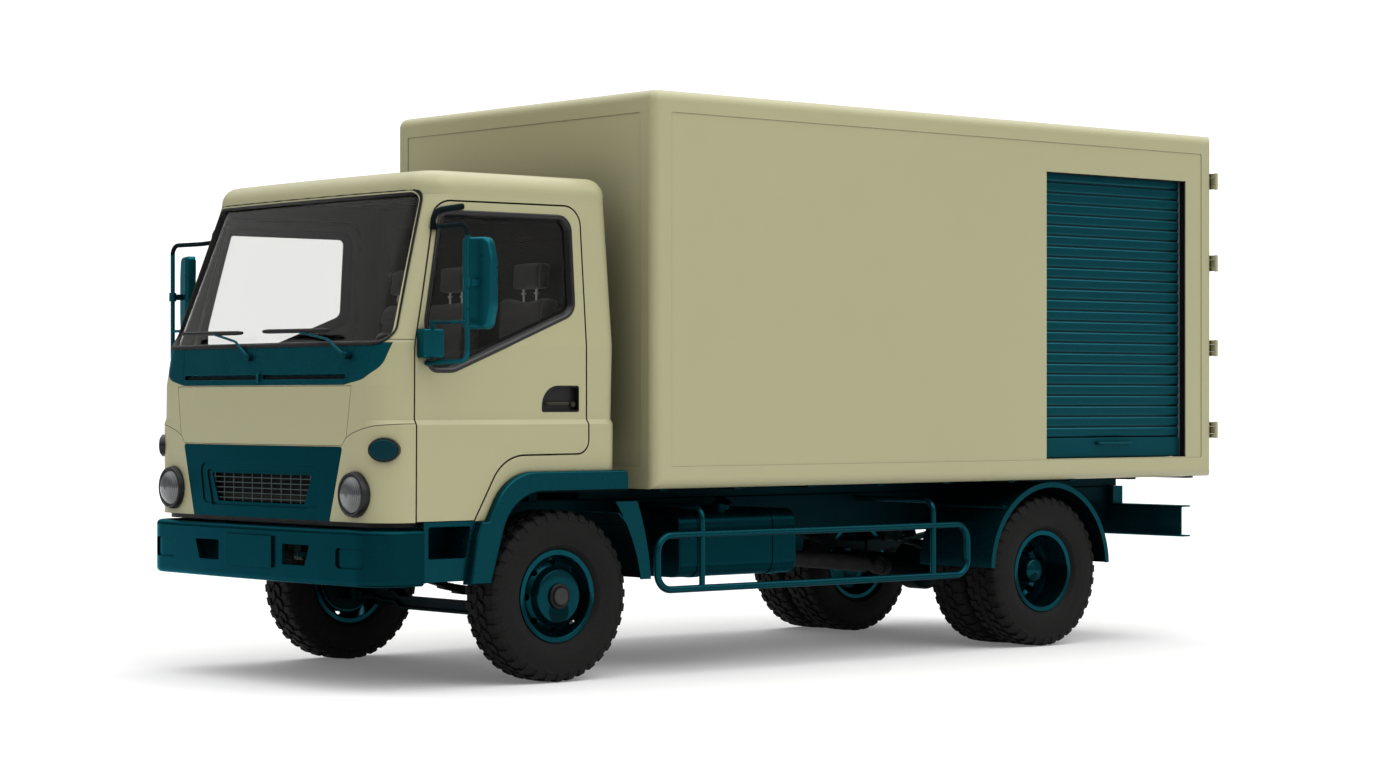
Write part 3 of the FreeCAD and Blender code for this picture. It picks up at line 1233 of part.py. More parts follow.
def front_wheel():
    """Rim with a convex disc, hand holes, a raised centre, brake drum and a hub with its cap."""
    rim = turned(rim_points(), V(0, 0, 0))
    disc = turned([(14, 196, 0), (26, 196, 0), (38, 172, 24), (64, 140, 14), (98, 122, 8), (98, 50, 0),
                   (88, 50, 0),
                   (88, 112, 4), (54, 132, 10), (28, 164, 20)], V(0, 0, 0))
    drum = turned([(front_drum_x[0] - tyre_x, 60, 0), (front_drum_x[0] - tyre_x, 165, 6), (25, 165, 6),
                   (40, 110, 10),
                   (88, 110, 0), (88, 58, 0), (108, 58, 4), (108, 40, 0), (119, 36, 6), (119, 0, 0), (74, 0,
                                                                                                      0),
                   (74, spindle_radius + running, 0), (front_drum_x[0] - tyre_x, spindle_radius + running,
                                                       0)], V(0, 0, 0))
    wheel = fuse([rim, disc, drum])
    for hole in holes(18, 162, 8, 8, 100):
        wheel = wheel.cut(hole)
    wheel.translate(V(tyre_x, 0, 0))
    return wheel


hub_inner_x = inner_tyre_x - 40
rear_spindle_end = tyre_x + 10
disc_plane = (tyre_x + inner_tyre_x) / 2


def rear_wheel_pair():
    """Inner and outer rims disc to disc, drum and hub that reaches out through the dished outer disc."""
    def dished(sign):
        rim = turned(rim_points(), V(0, 0, 0))
        mating = twin_spacing / 2 - 0.1        # the two discs bolt together on this plane
        section = [(66, 196, 0), (54, 196, 0), (mating - 22, 160, 10), (mating - 9, 140, 8),
                   (mating - 9, 70, 0),
                   (mating, 70, 0), (mating, 144, 8), (mating - 14, 166, 10)]
        disc = turned([(-sign * x, r, c) for x, r, c in section], V(0, 0, 0))
        solid = fuse([rim, disc])
        for hole in holes(21, 152, 8, -140, 140):
            solid = solid.cut(hole)
        return solid
    outer = dished(1)
    outer.translate(V(tyre_x, 0, 0))
    inner = dished(-1)
    inner.translate(V(inner_tyre_x, 0, 0))
    x = disc_plane
    bore = 35 + running
    drum = turned([(hub_inner_x + 1, bore, 0), (hub_inner_x + 1, 80, 0), (hub_inner_x + 14, 165, 8),
                   (x - 40, 165, 8),
                   (x - 30, 110, 10), (x - 10, 110, 0), (x - 10, 75, 0), (x + 60, 75, 10), (x + 160, 62, 14),
                   (x + 175, 0, 0), (rear_spindle_end + 6, 0, 0), (rear_spindle_end + 6, bore, 0)], V(0, 0,
                                                                                                      0))
    nuts = [n for n in holes(15, 105, 6, x + 8, x + 30, 30)]
    return fuse([outer, inner, drum] + nuts)


def cab_rest():
    """Arch on the rails behind the engine that the raised cab floor lies on."""
    top = deck_z - deck_plate - seat_gap
    posts = [block((s * (rail_outer - 30) - 25, s * (rail_outer - 30) + 25), (cab_y(225), cab_y(275)),
                   (rail_top_z, top)) for s in (1, -1)]
    beam = block((-rail_outer + 5, rail_outer - 5), (cab_y(225), cab_y(275)), (top - 50, top))
    return [fuse(posts + [beam])]


# ---------------------------------------------------------------- build every node
def at_axle(shape, y):
    shape.translate(V(0, y, axle_z))
    return shape


nodes = {
    "chassis_rails": chassis_rails(), "crossmembers": crossmembers() + cab_rest(), "leaf_springs": leaf_springs(),
    "front_axle": front_axle(), "rear_axle": rear_axle(), "engine": engine(), "driveshaft": driveshaft(),
    "exhaust": exhaust(), "fuel_tank": fuel_tank(), "battery_box": battery_box(), "side_guards": side_guards(),
    "front_bumper": front_bumper(), "rear_underrun_bar": rear_underrun_bar(), "tail_lamps": tail_lamps(),
    "mudguards": mudguards(), "box_floor": box_floor(), "shutter_curtain": shutter_curtain(),
    "shutter_guides": shutter_guides(), "cab_floor": cab_floor(), "seat_frames": seat_frames(),
    "seat_cushions": seat_cushions(), "dashboard": dashboard(), "steering_wheel": steering_wheel(),
    "wheel_arches": wheel_arches(), "grille_mesh": grille_mesh(), "wipers": wipers(), "tie_rod": tie_rod(),
}
nodes.update(box_walls())
nodes.update(lamp_solids())
cab = cab_parts()
for name in ("cab_roof", "cab_back", "cab_front_frame", "windscreen", "cowl_panel", "front_lid",
             "grille_panel"):
    nodes[name] = [cab[name]]

sided = {"door": cab["door"], "door_glass": cab["door_glass"], "mirror": mirror_set()[0],
         "rear_door": rear_door(),
         "knuckle": knuckle(), "front_tyre": at_axle(tyre(tyre_x), front_axle_y),
         "front_wheel": at_axle(front_wheel(), front_axle_y),
         "rear_tyres": at_axle(Part.makeCompound([tyre(tyre_x), tyre(inner_tyre_x)]), rear_axle_y),
         "rear_wheels": at_axle(rear_wheel_pair(), rear_axle_y)}
for name, left in sided.items():
    nodes[name + "_left"] = [left]
    nodes[name + "_right"] = [mirrored(left)]

os.makedirs("parts", exist_ok=True)
for name, shapes in nodes.items():
    solids = [solid for shape in shapes for solid in shape.Solids]
    whole = solids[0] if len(solids) == 1 else Part.makeCompound(solids)
    whole.exportStep("parts/" + name + ".step")
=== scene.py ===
"""A light box truck: paint, rubber, glass, seats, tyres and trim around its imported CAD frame."""

import json
from math import copysign, cos, pi, radians, sin, tan, tau

import bmesh
import bpy
import numpy as np
from mathutils import Matrix, Vector
from mathutils.bvhtree import BVHTree


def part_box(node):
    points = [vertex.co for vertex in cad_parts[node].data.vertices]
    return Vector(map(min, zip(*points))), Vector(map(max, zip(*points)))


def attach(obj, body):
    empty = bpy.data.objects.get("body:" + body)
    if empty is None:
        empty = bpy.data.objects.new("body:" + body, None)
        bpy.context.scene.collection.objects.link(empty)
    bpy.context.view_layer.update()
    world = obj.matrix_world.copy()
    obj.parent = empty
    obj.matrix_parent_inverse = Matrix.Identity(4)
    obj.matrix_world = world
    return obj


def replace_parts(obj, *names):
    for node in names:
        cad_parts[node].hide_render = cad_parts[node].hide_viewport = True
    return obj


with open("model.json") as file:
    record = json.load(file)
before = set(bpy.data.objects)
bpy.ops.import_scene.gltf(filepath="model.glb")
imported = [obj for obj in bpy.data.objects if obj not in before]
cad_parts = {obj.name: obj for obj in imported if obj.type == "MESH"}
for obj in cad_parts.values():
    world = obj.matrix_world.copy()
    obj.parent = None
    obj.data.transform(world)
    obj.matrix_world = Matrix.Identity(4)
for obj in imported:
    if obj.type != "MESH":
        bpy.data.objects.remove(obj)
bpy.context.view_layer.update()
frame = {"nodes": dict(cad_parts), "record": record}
nodes = frame["nodes"]
X, Y, Z = Vector((1, 0, 0)), Vector((0, 1, 0)), Vector((0, 0, 1))
SIDES = {"left": 1, "right": -1}
AXLE_Y, AXLE_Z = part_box("front_axle")[0].y + 0.055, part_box("front_axle")[0].z + 0.05
FRONT_Y, REAR_Y = (sum(corner.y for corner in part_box(name)) / 2 for name in ("front_wheel_left", "rear_wheels_left"))


# ------------------------ materials
def add_node(tree, kind, output=0, settings=None, **inputs):
    """Adds a shader node and gives one output; inputs go by name, or by place as i0, i1 and so on."""
    made = tree.nodes.new("ShaderNode" + kind)
    for key, value in (settings or {}).items():
        setattr(made, key, value)
    for key, value in inputs.items():
        socket = made.inputs[int(key[1:])] if key[0] == "i" and key[1:].isdigit() else made.inputs[key]
        if isinstance(value, bpy.types.NodeSocket):
            tree.links.new(value, socket)
        else:
            socket.default_value = value
    return made.outputs[output]


class Finish:
    """A procedural material, whose calls add a node and give its output."""

    def __init__(self, name, **constants):
        self.material = bpy.data.materials.new(name)
        self.material.use_nodes = True
        self.tree = self.material.node_tree
        self.shader = self.tree.nodes["Principled BSDF"]
        for key, value in constants.items():
            self.shader.inputs[key.replace("_", " ")].default_value = value
        self.place, self.facing = (self.node("TexCoord", output=kind) for kind in ("Object", "Normal"))

    def node(self, kind, output=0, settings=None, **inputs):
        return add_node(self.tree, kind, output, settings, **inputs)

    def noise(self, scale, detail=4.0, stretch=(1, 1, 1)):
        where = self.node("Mapping", Vector=self.place, Scale=stretch)
        return self.node("TexNoise", Vector=where, Scale=scale, Detail=detail, Roughness=0.55)

    def between(self, value, low, high, out_low=0.0, out_high=1.0):
        """Maps low..high of a value to out_low..out_high, clamped."""
        return self.node("MapRange", i0=value, i1=low, i2=high, i3=out_low, i4=out_high)

    def patches(self, scale, low, high, out_low=0.0, out_high=1.0, **more):
        """Noise, with low..high of it mapped to out_low..out_high."""
        return self.between(self.noise(scale, **more), low, high, out_low, out_high)

    def mix(self, share, a, b):
        """Colour between a and b."""
        kind = {"data_type": "RGBA"}
        return self.node("Mix", output=2, settings=kind, i0=share, i6=rgba(a), i7=rgba(b))

    def join(self, a, b, how="MULTIPLY"):
        return self.node("Math", settings={"operation": how}, i0=a, i1=b)

    def axis(self, vector, index):
        """One coordinate of a vector."""
        return self.node("SeparateXYZ", output=index, Vector=vector)

    def off(self, index, value):
        """Distance of the place's coordinate from a value."""
        return self.join(self.join(self.axis(self.place, index), value, "SUBTRACT"), 0.0, "ABSOLUTE")

    def dot(self, a, b):
        return self.node("VectorMath", output=1, settings={"operation": "DOT_PRODUCT"}, i0=a, i1=b)

    def height(self, value, depth, over=None):
        """Bump of the given depth in metres."""
        extra = {} if over is None else {"Normal": over}
        return self.node("Bump", Height=value, Distance=depth, Strength=1.0, **extra)

    def soft_edges(self, radius):
        return self.node("Bevel", settings={"samples": 4}, Radius=radius)

    def finish(self, base, rough=None, normal=None):
        """Joins the colour, roughness and normal to the shader and gives the material."""
        for key, value in (("Base Color", base), ("Roughness", rough), ("Normal", normal)):
            if value is not None:
                self.tree.links.new(value, self.shader.inputs[key])
        return self.material


def rgba(colour):
    return colour if isinstance(colour, bpy.types.NodeSocket) else (*colour, 1.0)


def shade(colour, factor):
    return tuple(c * factor for c in colour)


CREAM = (0.312, 0.299, 0.175)
TEAL = (0.0022, 0.038, 0.049)
TEAL_TINT = (0.15, 0.8, 0.95)
DARK_TEAL = (0.001, 0.0125, 0.016)
# near black: the running gear's own colour, and painted shade in the wheel arches and the shutter's grooves
UNDERSEAL_AND_SHADE = (0.0012, 0.0022, 0.0025)
TRIM = (0.013, 0.0130, 0.0085)
MIRROR_ARM_Z = 2.045
DOOR_SKIN = 0.017


def painted(name, colour, roughness, tint, gloss=0.35, metal=0.0, grime_and_shade=0.5, under=0.0, hidden=None, shading=None):
    """Sprayed paint: faint clouding, orange peel, brighter edges (partly wear, partly a painted highlight) and
    painted shade where surfaces meet and in seams.

    metal is the share of flake in it; under darkens faces that look down, as painted shade; hidden is (mask, colour)
    for a side that is lined, for a part in another colour, or for painted shade in the wheel arches; shading is a
    function that changes the colour, here to paint highlights and shade.
    """
    f = Finish(name, Specular_IOR_Level=gloss, Specular_Tint=(*tint, 1.0), Metallic=metal)
    clouds = f.patches(0.9, 0.3, 0.7, detail=2.0)
    speck = f.patches(160.0, 0.3, 0.7, 0.0, 0.10, detail=2.0)
    base = f.mix(clouds, shade(colour, 0.985), shade(colour, 1.012))
    base = f.mix(speck, base, shade(colour, 1.08))
    # brighter edges in patches: partly wear, partly a painted highlight along the edges
    edges = f.soft_edges(0.003)
    worn_and_lit_edges = f.between(f.dot(edges, f.node("NewGeometry", output=1)), 0.985, 0.90)
    share = f.patches(24.0, 0.42, 0.62, 0.25, 0.6, detail=5.0)
    base = f.mix(f.join(worn_and_lit_edges, share), base, shade(colour, 1.35))
    # painted shade: the colour darkens where other surfaces are near, in corners, gaps and under parts
    occlusion_shade = f.node("AmbientOcclusion", output=1, settings={"samples": 4}, Distance=0.45)
    base = f.mix(f.between(occlusion_shade, 0.15, 0.85, grime_and_shade, 0.0), base, shade(colour, 0.25))
    if shading:
        base = shading(f, base)
    # painted shade: a short-range occlusion darkens seams and panel gaps so they read wider
    seam_occlusion_shade = f.node("AmbientOcclusion", output=1, settings={"samples": 12}, Distance=0.016)
    base = f.mix(f.between(seam_occlusion_shade, 0.35, 0.80, 0.85, 0.0), base, shade(colour, 0.06))
    # painted shade: faces that look down are darkened
    if under:
        down = f.between(f.axis(f.facing, 2), -0.35, -0.75, 0.0, under)
        base = f.mix(down, base, shade(colour, 0.12))
    if hidden:
        masked = hidden[0](f)
        base = f.mix(masked, base, hidden[1])
    rough = f.patches(7.0, 0.3, 0.7, roughness - 0.04, roughness + 0.05)
    if hidden:
        rough = f.join(rough, f.between(masked, 0.0, 1.0, 0.0, 0.5), "ADD")
    peel = f.height(f.noise(420.0, detail=1.0), 0.00006, over=edges)
    return f.finish(base, rough, peel)


def inside_cab(f):
    """Mask of the cab shell's faces that look at the middle of the cab; the inward-facing walls of engraved seams
    and recesses also fall in it and so get painted shade.
    """
    inward = f.node("VectorMath", settings={"operation": "SUBTRACT"}, i0=(0.0, AXLE_Y - 0.35, 1.60), i1=f.place)
    return f.between(f.dot(inward, f.facing), 0.0, 0.03)


def inside_door(f):
    """Mask of a door's lined side, of its handle pocket and of the grip in that."""
    def within(index, middle, half, soft):
        return f.between(f.off(index, middle), half, half + soft, 1.0, 0.0)

    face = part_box("door_left")[1].x - DOOR_SKIN
    deep = f.between(f.off(0, 0.0), face - 0.004, face - 0.002, 1.0, 0.0)
    pocket = f.join(within(1, AXLE_Y - 0.009, 0.1105, 0.001), within(2, 1.3225, 0.0620, 0.001))
    grip = f.join(within(1, AXLE_Y - 0.009, 0.0920, 0.001), within(2, 1.3045, 0.0180, 0.001))
    return f.join(inside_cab(f), f.join(f.join(pocket, deep), grip, "MAXIMUM"), "MAXIMUM")


def inside_arch(f):
    """Mask of guard faces that look at their axle, which get painted shade."""
    along_y = f.axis(f.place, 1)
    middle = (FRONT_Y + REAR_Y) / 2
    nearer = f.between(along_y, middle, middle + 0.01, FRONT_Y, REAR_Y)
    to_y = f.join(nearer, along_y, "SUBTRACT")
    to_z = f.join(AXLE_Z, f.axis(f.place, 2), "SUBTRACT")
    dot = f.join(f.join(to_y, f.axis(f.facing, 1)), f.join(to_z, f.axis(f.facing, 2)), "ADD")
    return f.between(dot, 0.04, 0.10)


def slat_shade(f, base):
    """Colour of the shutter: a painted highlight on each slat's crown, above painted shade in its hinge groove,
    on every slat above the bottom bar.
    """
    bottom_bar, pitch = 0.108, 0.057
    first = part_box("shutter_curtain")[0].z + bottom_bar
    turns = f.join(f.join(f.axis(f.place, 2), first, "SUBTRACT"), pitch, "DIVIDE")
    slat = f.join(turns, 1.0, "FLOORED_MODULO")
    crown_highlight = f.join(f.between(slat, 0.80, 0.84), f.between(slat, 0.92, 0.95, 1.0, 0.0))
    groove_shade = f.join(f.between(slat, 0.955, 0.965), f.between(slat, 0.10, 0.16, 1.0, 0.0), "MAXIMUM")
    above = f.between(turns, 0.0, 0.02)
    # painted highlight along each slat's crown
    base = f.mix(f.join(crown_highlight, above), base, (0.010, 0.080, 0.104))
    # painted shade in each hinge groove
    return f.mix(f.join(groove_shade, f.join(above, 0.9)), base, UNDERSEAL_AND_SHADE)


def wheel_shade(f, base):
    """Colour of a wheel by its radius: a painted highlight on the rim's edge, painted shade in its well,
    and a dark middle.
    """
    off_y = f.join(f.off(1, FRONT_Y), f.off(1, REAR_Y), "MINIMUM")
    off_z = f.off(2, AXLE_Z)
    radius = f.join(f.join(f.join(off_y, off_y), f.join(off_z, off_z), "ADD"), 0.5, "POWER")
    # painted shade in the rim's well
    well = f.join(f.between(radius, 0.150, 0.166), f.between(radius, 0.208, 0.212, 0.8, 0.0))
    base = f.mix(well, base, shade(TEAL, 0.35))
    base = f.mix(f.between(radius, 0.056, 0.062, 0.85, 0.0), base, shade(TEAL, 0.1))
    # painted highlight: a thin bright ring on the rim's edge
    return f.mix(f.between(radius, 0.2140, 0.2155), base, shade(TEAL, 1.3))


def top_arm(f):
    """Mask of a mirror's upper arm, above its head."""
    return f.between(f.axis(f.place, 2), MIRROR_ARM_Z, MIRROR_ARM_Z + 0.004)


def cast_metal(name, colour, roughness=0.6):
    """Rough dark castings with a dusting of road dirt."""
    f = Finish(name, Metallic=0.35, Specular_IOR_Level=0.3)
    grime_and_shade = f.patches(14.0, 0.45, 0.7, detail=6.0)
    base = f.mix(grime_and_shade, colour, shade(colour, 1.9))
    grain = f.height(f.noise(260.0, detail=3.0), 0.0005, over=f.soft_edges(0.003))
    return f.finish(base, f.between(grime_and_shade, 0, 1, roughness, roughness + 0.2), grain)


def zinc(name, colour):
    """Galvanised steel: crystal patches of differing brightness."""
    f = Finish(name, Metallic=0.85)
    crystals = f.node("TexVoronoi", output=1, Vector=f.place, Scale=70.0)
    grey = f.node("RGBToBW", Color=crystals)
    base = f.mix(grey, shade(colour, 0.8), shade(colour, 1.15))
    return f.finish(base, f.between(grey, 0, 1, 0.38, 0.55), f.soft_edges(0.002))


def moulded(name, colour, roughness=0.5, grain=0.0002, scale=500.0):
    """Injection-moulded plastic with a fine pebble grain."""
    f = Finish(name, Specular_IOR_Level=0.3)
    base = f.mix(f.patches(5.0, 0.35, 0.65), shade(colour, 0.92), shade(colour, 1.1))
    pebble = f.node("TexVoronoi", Vector=f.place, Scale=scale)
    return f.finish(base, f.patches(30.0, 0.3, 0.7, roughness, roughness + 0.1),
                 f.height(pebble, grain, over=f.soft_edges(0.002)))


def tyre_rubber():
    """Dark grey rubber, dusty on its lugs, with a faint brown bloom on the sidewall."""
    f = Finish("tyre_rubber", Specular_IOR_Level=0.14)
    bloom = f.patches(5.0, 0.35, 0.7, detail=5.0)
    base = f.mix(bloom, (0.0035, 0.0035, 0.0034), (0.0065, 0.0063, 0.0061))
    dust = f.patches(60.0, 0.5, 0.75, detail=6.0)
    base = f.mix(f.join(dust, 0.3), base, (0.016, 0.0155, 0.0145))
    grain = f.height(f.noise(700.0, detail=2.0), 0.0003, over=f.soft_edges(0.0015))
    return f.finish(base, f.between(bloom, 0, 1, 0.62, 0.8), grain)


def seal_rubber(name, gloss, roughness):
    """Smooth extruded rubber, satin black."""
    f = Finish(name, Specular_IOR_Level=gloss)
    base = f.mix(f.patches(20.0, 0.35, 0.65), (0.002, 0.0022, 0.0022), (0.005, 0.0052, 0.005))
    return f.finish(base, f.patches(9.0, 0.3, 0.7, roughness, roughness + 0.1),
                 f.height(f.noise(300.0), 0.0001))


def window_glass():
    """Green-grey tinted safety glass with the faintest streaks."""
    f = Finish("window_glass", Transmission_Weight=1.0, IOR=1.17)
    streaks = f.patches(3.0, 0.3, 0.7, stretch=(1, 1, 0.2))
    return f.finish(f.mix(streaks, (0.815, 0.815, 0.805), (0.835, 0.835, 0.825)),
                 f.between(streaks, 0, 1, 0.0, 0.02))


def lamp_lens():
    """Grey headlamp glass with fine upright flutes."""
    f = Finish("lamp_lens", Specular_IOR_Level=0.6, Coat_Weight=0.8, Coat_Roughness=0.06)
    flutes = f.node("TexWave", settings={"bands_direction": "X"}, Vector=f.place, Scale=38.0)
    base = f.mix(f.patches(12.0, 0.35, 0.65), (0.024, 0.025, 0.028), (0.05, 0.052, 0.056))
    base = f.mix(f.join(flutes, 0.25), base, (0.09, 0.093, 0.10))
    return f.finish(base, f.between(flutes, 0, 1, 0.25, 0.32), f.height(flutes, 0.0006))


def coloured_lens(name, colour, skin, metal=0.0):
    """Moulded lamp lens with a prism grid under a clear skin."""
    f = Finish(name, Coat_Weight=skin, Coat_Roughness=0.12, Specular_IOR_Level=0.15, Metallic=metal)
    cells = f.node("TexVoronoi", settings={"distance": "CHEBYCHEV"}, Vector=f.place, Scale=110.0, Randomness=0.0)
    base = f.mix(cells, shade(colour, 0.75), shade(colour, 1.25))
    return f.finish(base, f.between(cells, 0, 1, 0.25, 0.4), f.height(cells, 0.0005))


def woven(name, colour):
    """Plain-weave seat cloth with heathered yarns."""
    f = Finish(name, Specular_IOR_Level=0.1, Sheen_Weight=0.35, Sheen_Roughness=0.45)
    warp = f.node("TexWave", settings={"bands_direction": "X"}, Vector=f.place, Scale=190.0, Distortion=0.6)
    weft = f.node("TexWave", settings={"bands_direction": "Z"}, Vector=f.place, Scale=190.0, Distortion=0.6)
    yarns = f.join(warp, weft, "MAXIMUM")
    heather = f.patches(120.0, 0.35, 0.65, detail=2.0)
    base = f.mix(heather, shade(colour, 0.8), shade(colour, 1.25))
    base = f.mix(f.join(yarns, 0.5), shade(colour, 0.6), base)
    return f.finish(base, f.between(heather, 0, 1, 0.85, 0.95), f.height(yarns, 0.0008))


def mirror_silver():
    """Silvered glass with a faint haze."""
    f = Finish("mirror_silver", Metallic=1.0)
    haze = f.patches(8.0, 0.3, 0.7)
    return f.finish(f.mix(haze, (0.78, 0.8, 0.81), (0.84, 0.86, 0.87)), f.between(haze, 0, 1, 0.02, 0.06),
                 f.height(haze, 0.00002))


def cream(name, hidden=None):
    return painted(name, CREAM, 0.36, (1.0, 0.97, 0.8), gloss=0.5, grime_and_shade=0.7, hidden=hidden)


def teal(name, share, roughness, gloss=0.20, metal=0.7, **more):
    return painted(name, shade(TEAL, share), roughness, TEAL_TINT, gloss=gloss, metal=metal, **more)


MATERIALS = {"cream_paint": cream("cream_paint"), "teal_paint": teal("teal_paint", 1.0, 0.24, under=0.9),
             "chassis_paint": painted("chassis_paint", DARK_TEAL, 0.45, TEAL_TINT, gloss=0.12, metal=0.5, grime_and_shade=0.85,
                                      under=0.95), "dark_steel": cast_metal("dark_steel", (0.018, 0.018, 0.019)),
             "tyre": tyre_rubber(), "glass": window_glass(), "lamp_glass": lamp_lens(),
             "teal_lens": coloured_lens("teal_lens", (0.0015, 0.030, 0.040), 0.05, metal=0.7),
             "red_lens": coloured_lens("red_lens", (0.16, 0.006, 0.008), 0.4),
             "black_plastic": moulded("black_plastic", (0.004, 0.004, 0.0045), 0.32),
             "grey_plastic": moulded("grey_plastic", (0.015, 0.0148, 0.0095), 0.7, grain=0.00005, scale=150.0),
             "seat_fabric": woven("seat_fabric", (0.050, 0.048, 0.037)),
             "galvanised": zinc("galvanised", (0.42, 0.43, 0.43)), }
rubber_seal = seal_rubber("seal_rubber", 0.18, 0.40)
glossy_seal = seal_rubber("glossy_seal_rubber", 0.35, 0.26)
mirror_face = mirror_silver()
hub_grey = moulded("hub_grey", (0.018, 0.017, 0.018), 0.45, grain=0.00005)
deep_black = moulded("deep_black", (0.0012, 0.0015, 0.0015), 0.9, grain=0.0001)
SPECIAL = ((cream("lined_cab_paint", (inside_cab, TRIM)), ("cab_roof", "cab_back", "cab_front_frame")),
           (cream("door_paint", (inside_door, TRIM)), ("door_left", "door_right")),
           # painted shade: darker copies of the teal for the bumper, grille and fuel tank, and a little darker for the
           # wheels
           (teal("shaded_dull_teal_paint", 0.68, 0.30, gloss=0.08, metal=0.85, under=0.9),
            ("front_bumper", "grille_panel", "fuel_tank")), (teal("wheel_paint", 0.85, 0.18, gloss=0.30, metal=0.8,
                                                                  shading=wheel_shade),
                                                             ("front_wheel_left", "front_wheel_right",
                                                              "rear_wheels_left", "rear_wheels_right")),
           # painted light: a lighter copy of the teal for the cowl, which leans back towards the light
           (teal("lit_teal_paint", 1.75, 0.28, under=0.5), ("cowl_panel",)),
           # painted shade: the guards' faces towards their axle turn near black
           (teal("guard_paint", 1.0, 0.26, under=0.9, hidden=(inside_arch, UNDERSEAL_AND_SHADE)),
            ("mudguards", "wheel_arches")), (teal("mirror_paint", 1.75, 0.30,
                                                  # painted light: the mirror heads get a lighter copy of the teal
                                                  hidden=(top_arm, (0.006, 0.0065, 0.007))),
                                             ("mirror_left", "mirror_right")),
           # painted light: a slightly lighter copy of the teal for the shutter
           (teal("shutter_paint", 1.15, 0.34, metal=0.6, shading=slat_shade), ("shutter_curtain",)),
           (painted("running_gear_paint", UNDERSEAL_AND_SHADE, 0.5, TEAL_TINT, gloss=0.12),
            ("front_axle", "knuckle_left", "knuckle_right", "tie_rod", "rear_axle", "leaf_springs")),
           (zinc("wire", (0.05, 0.075, 0.075)), ("grille_mesh",)), )

for part in frame["record"]["subparts"]:
    own = [finish for finish, members in SPECIAL if part["node"] in members]
    slots = nodes[part["node"]].data.materials
    slots.clear()
    slots.append(own[0] if own else MATERIALS[part["material_slot"]])


# ------------------------ camera, floor and light
def linked(name, data):
    """A new object in the scene."""
    made = bpy.data.objects.new(name, data)
    bpy.context.collection.objects.link(made)
    return made


def make_camera():
    """Level camera ahead of the truck's left front corner."""
    turn = radians(49.516)
    camera = linked("camera", bpy.data.cameras.new("camera"))
    camera.location = (12.225, -10.579, 1.309)
    camera.rotation_euler = (pi / 2, 0, turn)
    camera.data.lens = 80.35
    camera.data.sensor_width = 36.0
    camera.data.shift_y = 0.0129
    camera.data.clip_end = 200.0
    bpy.context.scene.camera = camera


def make_floor():
    """White ground that shines a little of its own."""
    mesh = bpy.data.meshes.new("floor")
    reach = 60.0
    mesh.from_pydata([(-reach, -reach, 0), (reach, -reach, 0), (reach, reach, 0), (-reach, reach, 0)], [],
                     [(0, 1, 2, 3)])
    f = Finish("floor", Roughness=0.9, Specular_IOR_Level=0.05, Emission_Color=(1.0, 1.0, 1.0, 1.0),
               Emission_Strength=0.14)
    mesh.materials.append(f.finish(f.mix(f.noise(0.4), (0.585, 0.585, 0.585), (0.605, 0.605, 0.605))))
    linked("floor", mesh)


def soft_sun(name, place, strength, spread):
    """Far soft light that shines from place towards the truck; its spread in degrees softens the shadows."""
    lamp = bpy.data.lights.new(name, "SUN")
    lamp.energy = strength
    lamp.angle = radians(spread)
    holder = linked(name, lamp)
    holder.location = place
    holder.rotation_euler = (-holder.location).to_track_quat("-Z", "Y").to_euler()


def make_light():
    """White surround, brighter above, with a broad soft light overhead and a weaker one from the left."""
    world = bpy.data.worlds.new("studio")
    bpy.context.scene.world = world
    world.use_nodes = True
    tree = world.node_tree
    tree.nodes.clear()
    white = (1.0, 1.0, 1.0, 1.0)
    sky = add_node(tree, "TexCoord", output="Generated")
    rise = add_node(tree, "MapRange", i0=add_node(tree, "SeparateXYZ", output="Z", i0=sky), i1=0.25, i2=0.95,
                    i3=HORIZON, i4=ZENITH)
    swing = add_node(tree, "MapRange", i0=add_node(tree, "SeparateXYZ", output="Y", i0=sky), i1=-0.9, i2=0.3,
                     i3=FRONT_SHARE, i4=1.0)
    strength = add_node(tree, "Math", settings={"operation": "MULTIPLY"}, i0=rise, i1=swing)
    lit = add_node(tree, "Background", Color=white, Strength=strength)
    seen = add_node(tree, "Background", Color=white, Strength=1.2)
    rays = [add_node(tree, "LightPath", output=f"Is {kind} Ray") for kind in ("Camera", "Transmission")]
    clear = add_node(tree, "Math", settings={"operation": "MAXIMUM"}, i0=rays[0], i1=rays[1])
    mixed = add_node(tree, "MixShader", i0=clear, i1=lit, i2=seen)
    tree.links.new(mixed, tree.nodes.new("ShaderNodeOutputWorld").inputs[0])
    soft_sun("overhead", (0.5, 0.3, 10.0), 1.15, 90.0)
    soft_sun("side", (10.0, 2.0, 8.0), 0.85, 60.0)
    bpy.context.scene.view_settings.view_transform = "Standard"
    bpy.context.scene.view_settings.look = "None"


HORIZON, ZENITH, FRONT_SHARE = 0.27, 2.5, 0.66
make_camera()
make_floor()
make_light()


# ------------------------ shapes
def polar(radius, turn):
    return radius * cos(turn), radius * sin(turn)


